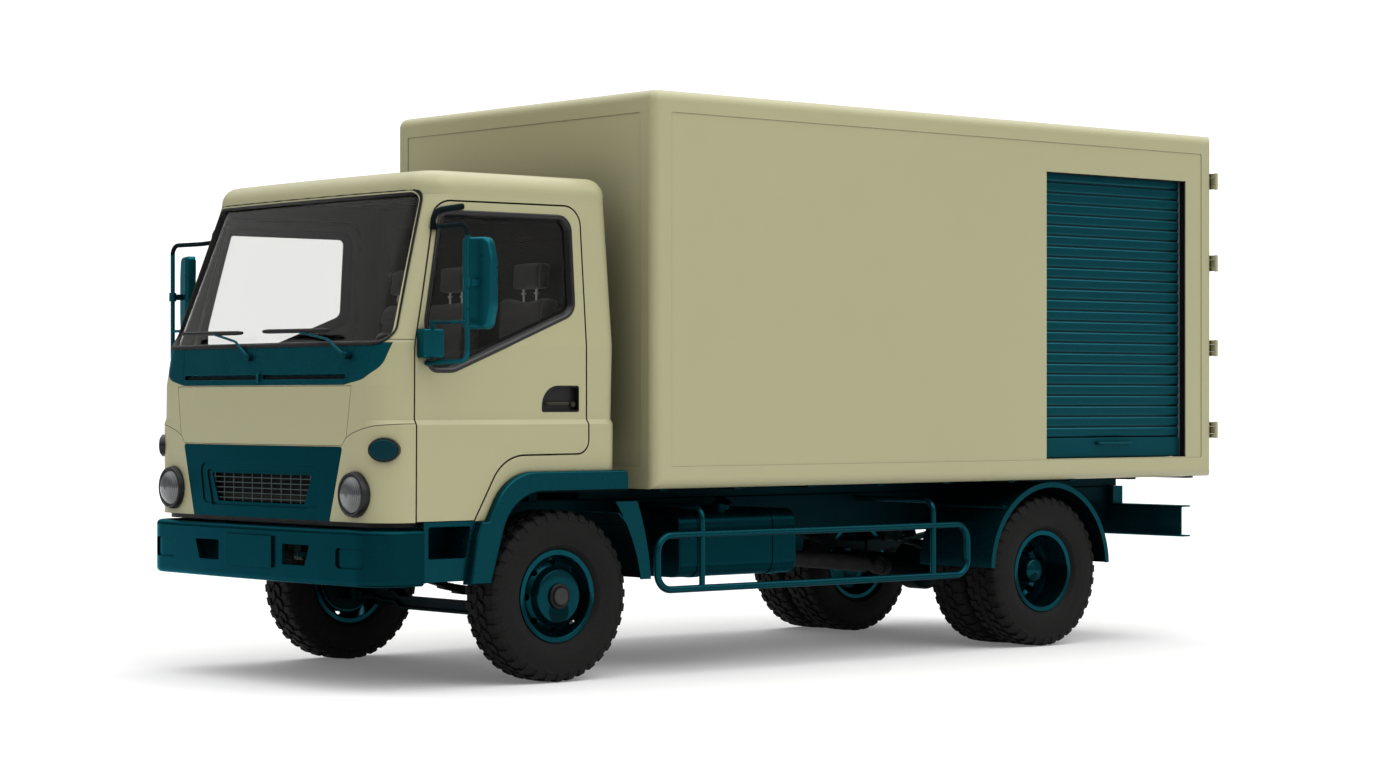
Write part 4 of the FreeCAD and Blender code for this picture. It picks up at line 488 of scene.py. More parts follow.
class Shape:
    """Points and faces gathered for one piece."""

    def __init__(self):
        self.points = []
        self.faces = []

    def add(self, points, faces, matrix=None):
        start = len(self.points)
        self.points += [matrix @ Vector(p) if matrix else Vector(p) for p in points]
        self.faces += [tuple(start + i for i in face) for face in faces]
        return self

    def rings(self, rings, close_ring=True, close_run=False, caps=False, matrix=None):
        """Skin over rings of equal length, one after the other."""
        count = len(rings[0])
        faces = []
        runs = len(rings) if close_run else len(rings) - 1
        steps = count if close_ring else count - 1
        for i in range(runs):
            for j in range(steps):
                a, b = i * count + j, i * count + (j + 1) % count
                c, d = (i + 1) % len(rings) * count + (j + 1) % count, (i + 1) % len(rings) * count + j
                faces.append((a, b, c, d))
        if caps:
            faces.append(tuple(reversed(range(count))))
            faces.append(tuple(range((len(rings) - 1) * count, len(rings) * count)))
        return self.add([p for ring in rings for p in ring], faces, matrix)

    def block(self, low, high, matrix=None):
        (x0, y0, z0), (x1, y1, z1) = low, high
        ring = [(x0, y0), (x1, y0), (x1, y1), (x0, y1)]
        return self.rings([[(x, y, z) for x, y in ring] for z in (z0, z1)], caps=True, matrix=matrix)

    def disc_stack(self, stack, sides, matrix, turn=0.0):
        """Solid of revolution about the matrix's Z: (radius, height) pairs, closed at both ends."""
        rings = [[(*polar(r, turn + tau * k / sides), h) for k in range(sides)] for r, h in stack]
        return self.rings(rings, caps=True, matrix=matrix)

    def piece(self, name, slot, body, finish=None, smooth=35.0, bevel=0.0, segments=1):
        """Makes the object, in its slot's material or a finish of its own, and hands it over."""
        mesh = bpy.data.meshes.new(name)
        mesh.from_pydata(self.points, [], self.faces)
        tidy = bmesh.new()
        tidy.from_mesh(mesh)
        bmesh.ops.remove_doubles(tidy, verts=tidy.verts, dist=1e-6)
        bmesh.ops.recalc_face_normals(tidy, faces=tidy.faces)
        tidy.to_mesh(mesh)
        tidy.free()
        mesh.materials.append(finish or MATERIALS[slot])
        made = linked(name, mesh)
        if bevel:
            rounding = made.modifiers.new("rounded edges", "BEVEL")
            rounding.width = bevel
            rounding.segments = segments
            rounding.limit_method = "ANGLE"
            rounding.angle_limit = radians(30)
        mesh.shade_smooth()
        mesh.set_sharp_from_angle(angle=radians(smooth))
        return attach(made, body)


def along(origin, direction, up=Z):
    """Matrix at origin whose Z is direction and whose Y is as near to up as it can be."""
    z = Vector(direction).normalized()
    if abs(z.dot(up)) > 0.99:
        up = Y
    x = Vector(up).cross(z).normalized()
    return Matrix.Translation(Vector(origin)) @ Matrix((x, z.cross(x), z)).transposed().to_4x4()


# ------------------------ tyres
LUGS = 36
TREAD_DEPTH = 0.013
BEAD_RADIUS = 0.2060


def tyre_carcass(half, radius, bead):
    """Section of the tyre under its lugs, from bead to bead, closed through the inside."""
    base = radius - TREAD_DEPTH
    wall = [(0.66, 0), (0.675, 0.012), (0.76, 0.020), (0.86, 0.030), (0.895, 0.034), (0.90, 0.040), (0.955, 0.058),
            (0.992, 0.080), (1.0, 0.102), (0.99, 0.128), (0.972, 0.142), (0.975, 0.147), (0.955, 0.155),
            (0.915, 0.170)]
    outer = [(x * half, bead + rise) for x, rise in wall]
    outer += [(x * half, base + rise) for x, rise in ((0.84, -0.002), (0.70, 0.0005), (0.35, 0.002), (0.0, 0.0025))]
    outer += [(-x, r) for x, r in reversed(outer[:-1])]
    inner = [(0.60 * half, bead + 0.012), (0.80 * half, bead + 0.07), (0.70 * half, base - 0.03)]
    return outer + [(-x, r) for x, r in inner] + inner[::-1]


def lug(shape, centre, section, middle, width, taper, skew=0.0):
    """One tread block: an (x, radius) section given an angular width, narrower at its top."""
    low = min(r for x, r in section)
    high = max(r for x, r in section)

    def turned(x, r, sign):
        narrowed = width / 2 * (1 - taper * (r - low) / (high - low))
        return centre + Vector((x, *polar(r, middle + sign * narrowed + skew * x)))

    shape.rings([[turned(x, r, sign) for x, r in section] for sign in (-1, 1)], caps=True)


def add_tyre(shape, centre, half, radius, bead):
    """Carcass with two rows of shoulder lugs that run down the sidewall and two rows of skewed middle blocks."""
    profile = tyre_carcass(half, radius, bead)
    shape.rings([[centre + Vector((x, *polar(r, tau * k / 144))) for x, r in profile] for k in range(144)],
                close_run=True)
    pitch = tau / LUGS
    base = radius - TREAD_DEPTH - 0.004
    for k in range(LUGS):
        inner, foot = (0.50, bead + 0.154) if k % 2 else (0.42, bead + 0.146)
        for side in (-1, 1):
            turn = k * pitch + (pitch / 2 if side < 0 else 0)
            shoulder = [(inner, base), (inner, radius - 0.001), (0.78, radius - 0.0025), (0.885, radius - 0.010),
                        (0.955, radius - 0.026), (0.995, foot + 0.004), (0.96, foot), (0.90, base - 0.012),
                        (0.80, base)]
            lug(shape, centre, [(side * x * half, r) for x, r in shoulder], turn, pitch * 0.60, 0.12)
            block = [(0.05, base), (0.05, radius), (0.34, radius - 0.0006), (0.34, base)]
            lug(shape, centre, [(side * x * half, r) for x, r in block], turn + pitch * 0.3, pitch * 0.68, 0.10,
                skew=side * 1.6)


def make_tyres():
    """Treaded tyres in place of the plain ones, side by side on the rear wheels."""
    front_low, front_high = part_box("front_tyre_left")
    width = front_high.x - front_low.x
    for name, body in ((f"{kind}_{side}", f"{wheel}_{side}") for kind, wheel in
                       (("front_tyre", "front_wheel"), ("rear_tyres", "rear_wheels")) for side in SIDES):
        low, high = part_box(name)
        middle = (low + high) / 2
        twin = high.x - low.x > 1.5 * width
        shape = Shape()
        for x in ((low.x + width / 2, high.x - width / 2) if twin else (middle.x,)):
            add_tyre(shape, Vector((x, *middle.yz)), width / 2, (high.z - low.z) / 2, BEAD_RADIUS)
        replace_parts(shape.piece(name + "_treaded", "tyre", body, smooth=28, bevel=0.0012), name)


# ------------------------ window and lamp seals
def rim_of(node, outward):
    """Rim of a pane's face on its outward side, as a closed list of points."""
    work = bmesh.new()
    work.from_mesh(nodes[node].data)
    bmesh.ops.remove_doubles(work, verts=work.verts, dist=2e-5)
    work.edges.index_update()
    shows = {f: f.normal.dot(outward) > 0.35 for f in work.faces}
    edges = {e.index: e for e in work.edges if len({shows[f] for f in e.link_faces}) == 2}
    loops = []
    while edges:
        start, here = edges.pop(min(edges)).verts
        points = [start]
        while here is not start:
            points.append(here)
            onward = [e.index for e in here.link_edges if e.index in edges]
            if not onward:
                break
            here = edges.pop(min(onward)).other_vert(here)
        loops.append([p.co.copy() for p in points])
    work.free()
    return max(loops, key=len)


def resample(loop, step):
    """Evenly spaced points on a closed loop."""
    ring = np.array([*loop, loop[0]])
    reached = np.concatenate(([0.0], np.cumsum(np.linalg.norm(np.diff(ring, axis=0), axis=1))))
    places = np.linspace(0.0, reached[-1], max(8, round(reached[-1] / step)), endpoint=False)
    return [Vector(p) for p in zip(*(np.interp(places, reached, ring[:, k]) for k in range(3)))]


def swept_seal(name, loop, outward, section, finish, body, step=0.012):
    """A closed extrusion round a loop: section points are (away from the middle, outward) in metres."""
    points = resample(loop, step)
    count = len(points)
    middle = sum(points, Vector()) / count
    rings = []
    for i in range(count):
        run = (points[(i + 1) % count] - points[i - 1]).normalized()
        lift = (outward - run * outward.dot(run)).normalized()
        away = run.cross(lift).normalized()
        if away.dot(points[i] - middle) < 0:
            away.negate()
        rings.append([points[i] + away * a + lift * b for a, b in section])
    return Shape().rings(rings, close_run=True).piece(name, "black_plastic", body, finish, smooth=50)


DOOR_SEAL = [(-0.016, 0.0005), (-0.016, 0.004), (-0.010, 0.010), (-0.007, 0.019), (-0.001, 0.0255), (0.006, 0.0275),
             (0.012, 0.0262), (0.016, 0.0232), (0.016, 0.0222), (0.0, 0.0222), (0.0, 0.0005)]
SCREEN_SEAL = [(-0.014, 0.0005), (-0.014, 0.004), (-0.009, 0.012), (-0.005, 0.0205), (0.000, 0.0245), (0.007, 0.0258),
               (0.013, 0.0248), (0.016, 0.0232), (0.016, 0.0222), (0.0, 0.0222), (0.0, 0.0005)]
INNER_SEAL = [(-0.030, 0.0005), (-0.030, 0.004), (-0.022, 0.012), (-0.008, 0.021), (0.008, 0.0235), (0.022, 0.022),
              (0.022, 0.019), (0.0, 0.0185), (0.0, 0.0005)]


def make_seals():
    for side, sign in SIDES.items():
        for kind, outward, section, finish in (("trim", -sign, INNER_SEAL, deep_black),
                                               ("seal", sign, DOOR_SEAL, glossy_seal)):
            loop = rim_of(f"door_glass_{side}", X * outward)
            swept_seal(f"door_window_{kind}_{side}", loop, X * outward, section, finish, f"door_{side}")
    lean = Vector((0, -0.94, 0.34)).normalized()
    swept_seal("windscreen_seal", rim_of("windscreen", -Y), lean, SCREEN_SEAL, rubber_seal, "cab", step=0.016)


# ------------------------ padded seats
def superform(half, steps=28, flat=0.30, plan=0.22, pinch=0.05):
    """Crowned closed form: half sizes, squareness of its section and plan, and how far its sides pull in."""
    def power(value, exponent):
        return copysign(abs(value) ** exponent, value)

    rings = []
    for i in range(1, steps):
        tilt = pi * (i / steps - 0.5)
        ring = []
        for k in range(4 * steps):
            turn = tau * k / (4 * steps)
            x, y = power(cos(turn), plan), power(sin(turn), plan)
            pull = 1 - pinch * (1 - max(abs(x), abs(y)) * min(abs(x), abs(y)))
            wide = power(cos(tilt), flat) * pull
            ring.append((half[0] * x * wide, half[1] * y * wide, half[2] * power(sin(tilt), flat)))
        rings.append(ring)
    return rings


def inflate(made, pressure, cap):
    """Voxel remesh and cloth pressure; no point moves further than cap."""
    remesh = made.modifiers.new("remesh", "REMESH")
    remesh.mode = "VOXEL"
    remesh.voxel_size = 0.011
    apply_modifiers(made)
    start = rows_of(made.data.vertices)
    cloth = made.modifiers.new("cloth", "CLOTH")
    cloth.settings.use_pressure = True
    cloth.settings.uniform_pressure_force = pressure
    cloth.settings.effector_weights.gravity = 0.0
    cloth.settings.quality = 5
    cloth.settings.tension_stiffness = cloth.settings.compression_stiffness = 25.0
    for step in range(1, 21):
        bpy.context.scene.frame_set(step)
    swollen = made.evaluated_get(bpy.context.evaluated_depsgraph_get())
    move = np.nan_to_num(rows_of(swollen.data.vertices) - start)
    made.modifiers.clear()
    length = np.linalg.norm(move, axis=1, keepdims=True)
    move *= np.minimum(1.0, cap / np.maximum(length, 1e-9))
    made.data.vertices.foreach_set("co", (start + move).ravel())
    bpy.context.scene.frame_set(1)
    made.modifiers.new("smooth", "SUBSURF").render_levels = 1
    made.modifiers["smooth"].levels = 1
    apply_modifiers(made)


def rows_of(items, key="co"):
    """Places of vertices, or their normals, as rows of an array."""
    flat = np.empty(len(items) * 3)
    items.foreach_get(key, flat)
    return flat.reshape(-1, 3)


def apply_modifiers(made):
    """Turns the modifiers' result into the object's mesh."""
    graph = bpy.context.evaluated_depsgraph_get()
    graph.update()
    done = bpy.data.meshes.new_from_object(made.evaluated_get(graph), depsgraph=graph)
    old = made.data
    made.modifiers.clear()
    made.data = done
    bpy.data.meshes.remove(old)


def sew(made, lines, depth, width, room):
    """Sewn channels on the upper side, after points outside the room are drawn back to its faces.

    Lines are (coordinate index, place, low, high of the other coordinate).
    """
    mesh = made.data
    points = np.clip(rows_of(mesh.vertices), -np.array(room), np.array(room))
    mesh.vertices.foreach_set("co", points.ravel())
    mesh.update()
    normals = rows_of(mesh.vertex_normals, "vector")
    sink = np.zeros(len(points))
    for index, at, low, high in lines:
        other = points[:, 1 - index]
        beyond = np.maximum(np.maximum(low - other, other - high), 0.0)
        off = np.hypot(points[:, index] - at, beyond)
        sink = np.maximum(sink, depth * np.exp(-(off / width) ** 2))
    sink[normals[:, 2] < 0.25] = 0.0
    mesh.vertices.foreach_set("co", (points - normals * sink[:, None]).ravel())
    mesh.update()


def make_pad(name, half, matrix, lines, cap, room, headrest=False):
    """One cushion: a swollen and sewn form, set in place by the matrix."""
    shape = Shape().rings(superform(half, flat=0.42 if headrest else 0.30), caps=True)
    made = shape.piece(name, "seat_fabric", "cab")
    inflate(made, 3.5, cap)
    sew(made, lines, 0.007, 0.006, room)
    made.data.transform(matrix)
    made.data.shade_smooth()
    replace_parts(made, "seat_cushions")


def channels(half_x, reach, middle_reach, beside_reach, across, double):
    """Sewn lines of a pad: one near each side, three along the middle of a double seat, and those across."""
    lines = [(0, side * (half_x - 0.075), -reach, reach) for side in (-1, 1)]
    if double:
        lines += [(0, at, -end, end) for at, end in ((0.0, middle_reach), (-0.06, beside_reach),
                                                     (0.06, beside_reach))]
    return lines + [(1, at, -half_x + 0.08, half_x - 0.08) for at in across]


def make_seats():
    """Cushion, back and headrests for the driver and for the double passenger seat, with sewn panels."""
    low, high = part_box("seat_cushions")
    seat_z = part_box("seat_frames")[1].z
    front, rear = low.y, low.y + 0.590
    back_z = seat_z + 0.1306
    top_z = high.z - 0.150
    for name, x0, x1 in (("driver", 0.28, 0.74), ("passenger", -0.74, 0.13)):
        half_x = (x1 - x0) / 2
        double = name == "passenger"
        centre = Vector(((x0 + x1) / 2, (front + rear) / 2, seat_z + 0.066))
        half = (half_x - 0.012, 0.278, 0.052)
        lines = channels(half_x, 0.24, 0.26, 0.24, (-0.17, -0.06, 0.05, 0.16), double)
        make_pad(f"{name}_seat_pad", half, Matrix.Translation(centre), lines, 0.024,
                 room=(half_x - 0.001, 0.293, 0.0645))
        lean = Matrix.Rotation(radians(-4.5), 4, "X")
        middle = Vector((centre.x, low.y + 0.548, (back_z + top_z) / 2))
        half = (half_x - 0.012, (top_z - back_z) / 2 - 0.010, 0.044)
        stand = Matrix.Translation(middle) @ lean @ Matrix.Rotation(radians(90), 4, "X")
        lines = channels(half_x, 0.19, 0.21, 0.2, (-0.12, -0.04, 0.04, 0.12), double)
        make_pad(f"{name}_seat_back", half, stand, lines, 0.022,
                 room=(half_x - 0.001, (top_z - back_z) / 2 - 0.001, 0.052))
    posts = Shape()
    for k, x in enumerate((0.51, -0.09, -0.54)):
        middle = Vector((x, low.y + 0.575, high.z - 0.069))
        turn = Matrix.Translation(middle) @ Matrix.Rotation(radians(86), 4, "X")
        rows = [(0, side * 0.095, -0.05, 0.05) for side in (-1, 1)]
        make_pad(f"headrest_{k + 1}", (0.122, 0.062, 0.036), turn, rows, 0.014, room=(0.133, 0.070, 0.046),
                 headrest=True)
        for side in (-1, 1):
            foot = Vector((x + side * 0.05, low.y + 0.568, top_z - 0.045))
            posts.disc_stack([(0.006, 0), (0.006, 0.075)], 16, Matrix.Translation(foot))
            posts.disc_stack([(0.013, 0.040), (0.013, 0.045), (0.009, 0.049)], 16, Matrix.Translation(foot))
    posts.piece("headrest_posts", "galvanised", "cab")


# ------------------------ inside the cab
def panel_solid(shape, outline_points, thick, matrix, bevel=0.006):
    """Plate with a rounded front edge, from an outline in its own plane (counter-clockwise)."""
    middle = sum((Vector((*p, 0)) for p in outline_points), Vector()) / len(outline_points)

    def ring(inset, height):
        made = []
        for p in outline_points:
            out = Vector((*p, 0)) - middle
            made.append((*(middle + out * (1 - inset / max(out.length, 1e-6)))[:2], height))
        return made

    shape.rings([ring(0, 0), ring(0, thick - bevel), ring(bevel * 0.3, thick - bevel * 0.3), ring(bevel, thick)],
                caps=True, matrix=matrix)


def rounded(points, step=6):
    """Outline with its corners rounded: points are (u, v, radius)."""
    out = []
    count = len(points)
    for k, (u, v, r) in enumerate(points):
        here = Vector((u, v))
        before = (Vector(points[k - 1][:2]) - here).normalized()
        after = (Vector(points[(k + 1) % count][:2]) - here).normalized()
        if r == 0:
            out.append(tuple(here))
            continue
        half = before.angle(after) / 2
        reach = r / tan(half)
        a, b = here + before * reach, here + after * reach
        centre = here + (before + after).normalized() * (r / sin(half))
        for i in range(step + 1):
            spoke = (a - centre).lerp(b - centre, i / step).normalized() * r
            out.append(tuple(centre + spoke))
    return out


def box_outline(u0, v0, u1, v1, radius):
    return rounded([(u0, v0, radius), (u1, v0, radius), (u1, v1, radius), (u0, v1, radius)])


def tube_line(shape, points, radius, sides=12):
    """Round bar along points, with flat ends."""
    points = [Vector(p) for p in points]
    rings = []
    for i, p in enumerate(points):
        run = (points[min(i + 1, len(points) - 1)] - points[max(i - 1, 0)]).normalized()
        side = run.orthogonal().normalized() if i == 0 else (side - run * side.dot(run)).normalized()
        up = run.cross(side)
        spokes = [polar(radius, tau * k / sides) for k in range(sides)]
        rings.append([p + side * a + up * b for a, b in spokes])
    shape.rings(rings, caps=True)


# planes for plates that face right, left, the front and down
FACE_X = {1: Matrix(((0, 0, 1, 0), (1, 0, 0, 0), (0, 1, 0, 0), (0, 0, 0, 1))),
          -1: Matrix(((0, 0, -1, 0), (1, 0, 0, 0), (0, 1, 0, 0), (0, 0, 0, 1)))}
FACE_FRONT = Matrix(((1, 0, 0, 0), (0, 0, -1, 0), (0, 1, 0, 0), (0, 0, 0, 1)))
FACE_DOWN = Matrix(((1, 0, 0, 0), (0, 1, 0, 0), (0, 0, -1, 0), (0, 0, 0, 1)))


def shifted(x, y, z, matrix):
    """One of these planes, moved."""
    return Matrix.Translation((x, y, z)) @ matrix


def make_door_cards():
    """Door cards with an armrest and a pocket."""
    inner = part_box("dashboard")[1].x + 0.004
    for side, sign in SIDES.items():
        card = Shape()
        outline = rounded([(-0.755, 0.96, 0.05), (-0.10, 0.96, 0.18), (0.02, 1.10, 0.06), (0.085, 1.16, 0.05),
                           (0.085, 1.68, 0.06), (-0.60, 1.43, 0.10), (-0.755, 1.50, 0.05)])
        panel_solid(card, outline, 0.008, shifted(sign * inner, AXLE_Y, 0, FACE_X[-sign]))
        place = shifted(sign * (inner - 0.006), AXLE_Y, 0, FACE_X[-sign])
        panel_solid(card, box_outline(-0.50, 1.275, -0.02, 1.335, 0.02), 0.052, place, 0.018)
        pocket = rounded([(-0.70, 0.985, 0.03), (-0.16, 0.985, 0.10), (-0.16, 1.13, 0.03), (-0.70, 1.13, 0.03)])
        panel_solid(card, pocket, 0.030, place, 0.010)
        card.piece(f"door_card_{side}", "grey_plastic", f"door_{side}", smooth=40)


def make_linings():
    """Back wall and roof linings with pressed ribs."""
    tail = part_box("cab_back")[1].y - 0.052
    wall = Shape()
    panel_solid(wall, rounded([(-0.86, 1.14, 0.04), (0.86, 1.14, 0.04), (0.80, 2.20, 0.08), (-0.80, 2.20, 0.08)]),
                0.010, shifted(0, tail - 0.001, 0, FACE_FRONT))
    for z in (1.45, 1.62, 1.79, 1.96, 2.10):
        panel_solid(wall, box_outline(-0.72, z - 0.012, 0.72, z + 0.012, 0.011), 0.016,
                    shifted(0, tail - 0.004, 0, FACE_FRONT))
    wall.piece("back_wall_lining", "grey_plastic", "cab", smooth=40)
    roof = Shape()
    down = shifted(0, 0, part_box("cab_roof")[1].z - 0.052, FACE_DOWN)
    outline = rounded([(-0.80, AXLE_Y - 0.55, 0.12), (0.80, AXLE_Y - 0.55, 0.12), (0.80, tail - 0.03, 0.05),
                       (-0.80, tail - 0.03, 0.05)])
    panel_solid(roof, outline, 0.012, down, 0.008)
    for k in range(5):
        y = AXLE_Y - 0.42 + 0.15 * k
        panel_solid(roof, box_outline(-0.70, y - 0.014, 0.70, y + 0.014, 0.013), 0.018, down)
    roof.piece("roof_lining", "grey_plastic", "cab", smooth=40)


def make_mat():
    """Ribbed rubber mat."""
    mat = Shape()
    floor_z = 0.8722
    mat.block((-0.86, AXLE_Y - 0.93, floor_z), (0.86, AXLE_Y - 0.53, floor_z + 0.004))
    for k in range(56):
        x = -0.83 + k * 0.030
        mat.block((x, AXLE_Y - 0.915, floor_z + 0.003), (x + 0.012, AXLE_Y - 0.545, floor_z + 0.007))
    mat.piece("floor_mat", "black_plastic", "cab", rubber_seal, smooth=30)


def make_dials():
    """Hood with three dials in front of the driver, and the vents."""
    wheel_low, wheel_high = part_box("steering_wheel")
    x = (wheel_low.x + wheel_high.x) / 2
    face_y, low_z = AXLE_Y - 0.660, 1.470
    run = [(-0.20, 0.0), (-0.19, 0.075), (-0.12, 0.112), (0.12, 0.112), (0.19, 0.075), (0.20, 0.0)]
    rings = []
    for y, grow in ((-0.13, 0.86), (-0.04, 1.0), (0.0, 1.0), (0.0, 0.93), (-0.012, 0.92)):
        rings.append([(x + u * grow, face_y + y, low_z + v * grow) for u, v in run])
    hood = Shape().rings(rings, caps=True)
    hood.piece("dial_hood", "black_plastic", "cab", smooth=40, bevel=0.004, segments=3)
    dials = Shape()
    for u, r in ((-0.085, 0.046), (0.085, 0.046), (0.0, 0.022)):
        at = along((x + u, face_y - 0.0115, low_z + 0.052), Y)
        dials.disc_stack([(r, 0), (r, 0.005), (r - 0.004, 0.007), (r - 0.006, 0.0035)], 40, at)
    dials.piece("dials", "galvanised", "cab", smooth=40)
    vents = Shape()
    for middle in (-0.70, -0.45, 0.12, 0.80):
        place = along((middle, AXLE_Y - 0.676, 1.452), (0, 0.86, 0.5))
        for k in range(5):
            vents.block((-0.055, -0.030 + k * 0.014, 0.0), (0.055, -0.026 + k * 0.014, 0.010), place)
        for u in (-0.062, 0.056):
            vents.block((u, -0.038, 0.0), (u + 0.006, 0.038, 0.013), place)
        for v in (-0.042, 0.036):
            vents.block((-0.062, v, 0.0), (0.062, v + 0.006, 0.013), place)
    vents.piece("dash_vents", "black_plastic", "cab", smooth=30)


def make_controls():
    """Gear lever and pedals."""
    lever = Shape()
    tube_line(lever, [(0.215, AXLE_Y - 0.66, 1.10), (0.215, AXLE_Y - 0.60, 1.20), (0.217, AXLE_Y - 0.53, 1.34),
                      (0.220, AXLE_Y - 0.49, 1.45)], 0.007)
    lever.disc_stack([(0.004, 0), (0.018, 0.006), (0.025, 0.022), (0.024, 0.036), (0.014, 0.048)], 24,
                     along((0.220, AXLE_Y - 0.492, 1.442), (0, 0.25, 0.97)))
    folds = [(0.060 - 0.0062 * k - (0.006 if k % 2 else 0.0), 0.012 * k) for k in range(8)]
    lever.disc_stack(folds, 28, along((0.215, AXLE_Y - 0.70, 1.02), (0, 0.42, 0.9)))
    lever.piece("gear_lever", "black_plastic", "cab", smooth=50)
    pedals = Shape()
    for px, wide in ((0.40, 0.06), (0.53, 0.06), (0.66, 0.05)):
        pad = along((px, AXLE_Y - 0.80, 1.02), (0, 0.75, 0.66))
        pedals.block((-wide / 2, -0.05, 0.0), (wide / 2, 0.05, 0.010), pad)
        for k in range(6):
            pedals.block((-wide / 2 + 0.004, -0.044 + 0.016 * k, 0.009),
                         (wide / 2 - 0.004, -0.036 + 0.016 * k, 0.013), pad)
        tube_line(pedals, [(px, AXLE_Y - 0.805, 1.02), (px, AXLE_Y - 0.86, 1.10), (px, AXLE_Y - 0.88, 1.19)], 0.008)
    pedals.piece("pedals", "black_plastic", "cab", smooth=30, bevel=0.001)


# ------------------------ trim outside the cab
def make_grille_shade_plate():
    """Dark plate behind the grille mesh: painted shade seen through the grille."""
    low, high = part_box("grille_mesh")
    depth = high.y + 0.034
    # painted shade: a rough near-black sheet stands in for the shade behind the grille
    shade_plate = Shape().block((low.x - 0.012, depth, low.z - 0.012), (high.x + 0.012, depth + 0.005, high.z + 0.012))
    shade_plate.piece("grille_shade_plate", "black_plastic", "cab", deep_black)


def make_mirror_glasses():
    """Mirror glasses on the heads' rear faces, turned in with the heads."""
    tube_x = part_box("wheel_arches")[1].x + 0.220
    for side, sign in SIDES.items():
        outline = rounded([(-0.074, 1.640, 0.012), (0.056, 1.640, 0.030), (0.072, 1.735, 0.18), (0.072, 1.935, 0.18),
                           (0.052, 2.034, 0.034), (-0.074, 2.034, 0.016)])
        local = [(-u, v) for u, v in reversed(outline)]
        rear = Matrix(((-1, 0, 0, 0), (0, 0, 1, 0.049), (0, 1, 0, 0), (0, 0, 0, 1)))
        place = Matrix.Translation(Vector((tube_x - 0.005, AXLE_Y - 0.696, 0))) @ Matrix.Rotation(radians(20), 4, "Z")
        glass = Shape()
        panel_solid(glass, local, 0.005, place @ rear, 0.0015)
        glass.points = [Vector((sign * p.x, p.y, p.z)) for p in glass.points]
        glass.piece(f"mirror_glass_{side}", "glass", f"door_{side}", mirror_face, smooth=20)


def make_wiper_blades():
    """A rubber blade round each wiper's blade rod."""
    blades = Shape()
    half, sag = 0.272, 0.00185
    for middle in (-0.472, 0.256):
        rings = []
        for k in range(25):
            u = -half + 2 * half * k / 24
            z = 1.636 - sag * u / 0.27
            grow = 0.65 + 0.35 * min(1.0, (half - abs(u)) / 0.03)
            rings.append([(middle + u, AXLE_Y - 1.001 + a * grow, z + b * grow) for a, b in
                          ((-0.0115, -0.004), (-0.0115, 0.006), (-0.003, 0.0105), (0.0075, 0.0095), (0.0105, 0.0),
                           (0.004, -0.0095), (-0.006, -0.0105))])
        blades.rings(rings, caps=True)
    blades.piece("wiper_blades", "black_plastic", "cab", rubber_seal, smooth=30)


def make_door_top_seals():
    """Rubber over the top and rear corner of each door opening."""
    # (back, down) from the door's corner
    edge = ((0.782, 0.001), (0.080, 0.001), (0.040, 0.016), (0.023, 0.031), (0.013, 0.046), (0.007, 0.061),
            (0.002, 0.1215))
    gap_x, radius = 0.892, 0.0085
    for side, sign in SIDES.items():
        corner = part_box(f"door_{side}")[1]
        seal = Shape()
        tube_line(seal, [(sign * gap_x, corner.y - back, corner.z - down) for back, down in edge], radius)
        seal.piece(f"door_top_seal_{side}", "black_plastic", "cab", rubber_seal, smooth=40)


def make_handle_cups():
    """Linings of the door-handle pockets."""
    for side, sign in SIDES.items():
        face = max(abs(corner.x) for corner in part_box(f"door_{side}")) - DOOR_SKIN

        def line(inset, x, low_radius, high_radius, slant_radius):
            y0, y1 = AXLE_Y - 0.1175 + inset, AXLE_Y + 0.0995 - inset
            z0, z1 = 1.2625 + inset, 1.3825 - inset
            corners = [(y0, z0, low_radius), (y1, z0, low_radius), (y1, z1, high_radius), (y0, z1, slant_radius)]
            return [(sign * x, y, z) for y, z in rounded(corners, step=10)]

        cup = Shape().rings([line(0.0, face - 0.0318, 0.010, 0.012, 0.094),
                             line(0.0, face + 0.0015, 0.010, 0.012, 0.094),
                             line(0.005, face + 0.0015, 0.008, 0.010, 0.090),
                             line(0.005, face - 0.0290, 0.008, 0.010, 0.090)], caps=True)
        cup.piece(f"handle_cup_{side}", "black_plastic", f"door_{side}", smooth=30)


def make_shutter_seals():
    """Edge seals round the shutter's opening."""
    low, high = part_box("shutter_curtain")
    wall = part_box("box_side_left")[1].x
    top = low.z + 1.525
    strips = Shape()
    for y in (low.y - 0.0125, high.y + 0.0085):
        strips.block((wall - 0.060, y, low.z), (wall - 0.009, y + 0.004, top))
    strips.block((wall - 0.059, low.y - 0.0080, top - 0.004), (wall - 0.010, high.y + 0.0080, top))
    strips.piece("shutter_edge_seals", "black_plastic", "chassis", rubber_seal, smooth=30)


def make_louvres():
    """Louvre strips in the cowl's air slots."""
    mesh = nodes["cowl_panel"].data
    skin = BVHTree.FromPolygons([v.co for v in mesh.vertices], [tuple(p.vertices) for p in mesh.polygons])
    strips = Shape()
    for sign in (1, -1):
        for z, tall in ((1.4145, 0.0035), (1.4225, 0.0030)):
            rings = []
            for k in range(33):
                x = sign * (0.030 + 0.648 * k / 32)
                y = skin.ray_cast(Vector((x, -9.0, 1.4235)), Y)[0].y
                rings.append([(x, y - a, z + b * tall) for a, b in ((0.0005, -1), (0.0035, -1), (0.0060, 0.2),
                                                                    (0.0050, 1), (0.0005, 1))])
            strips.rings(rings, caps=True)
    strips.piece("cowl_slot_louvres", "black_plastic", "cab", deep_black, smooth=30)


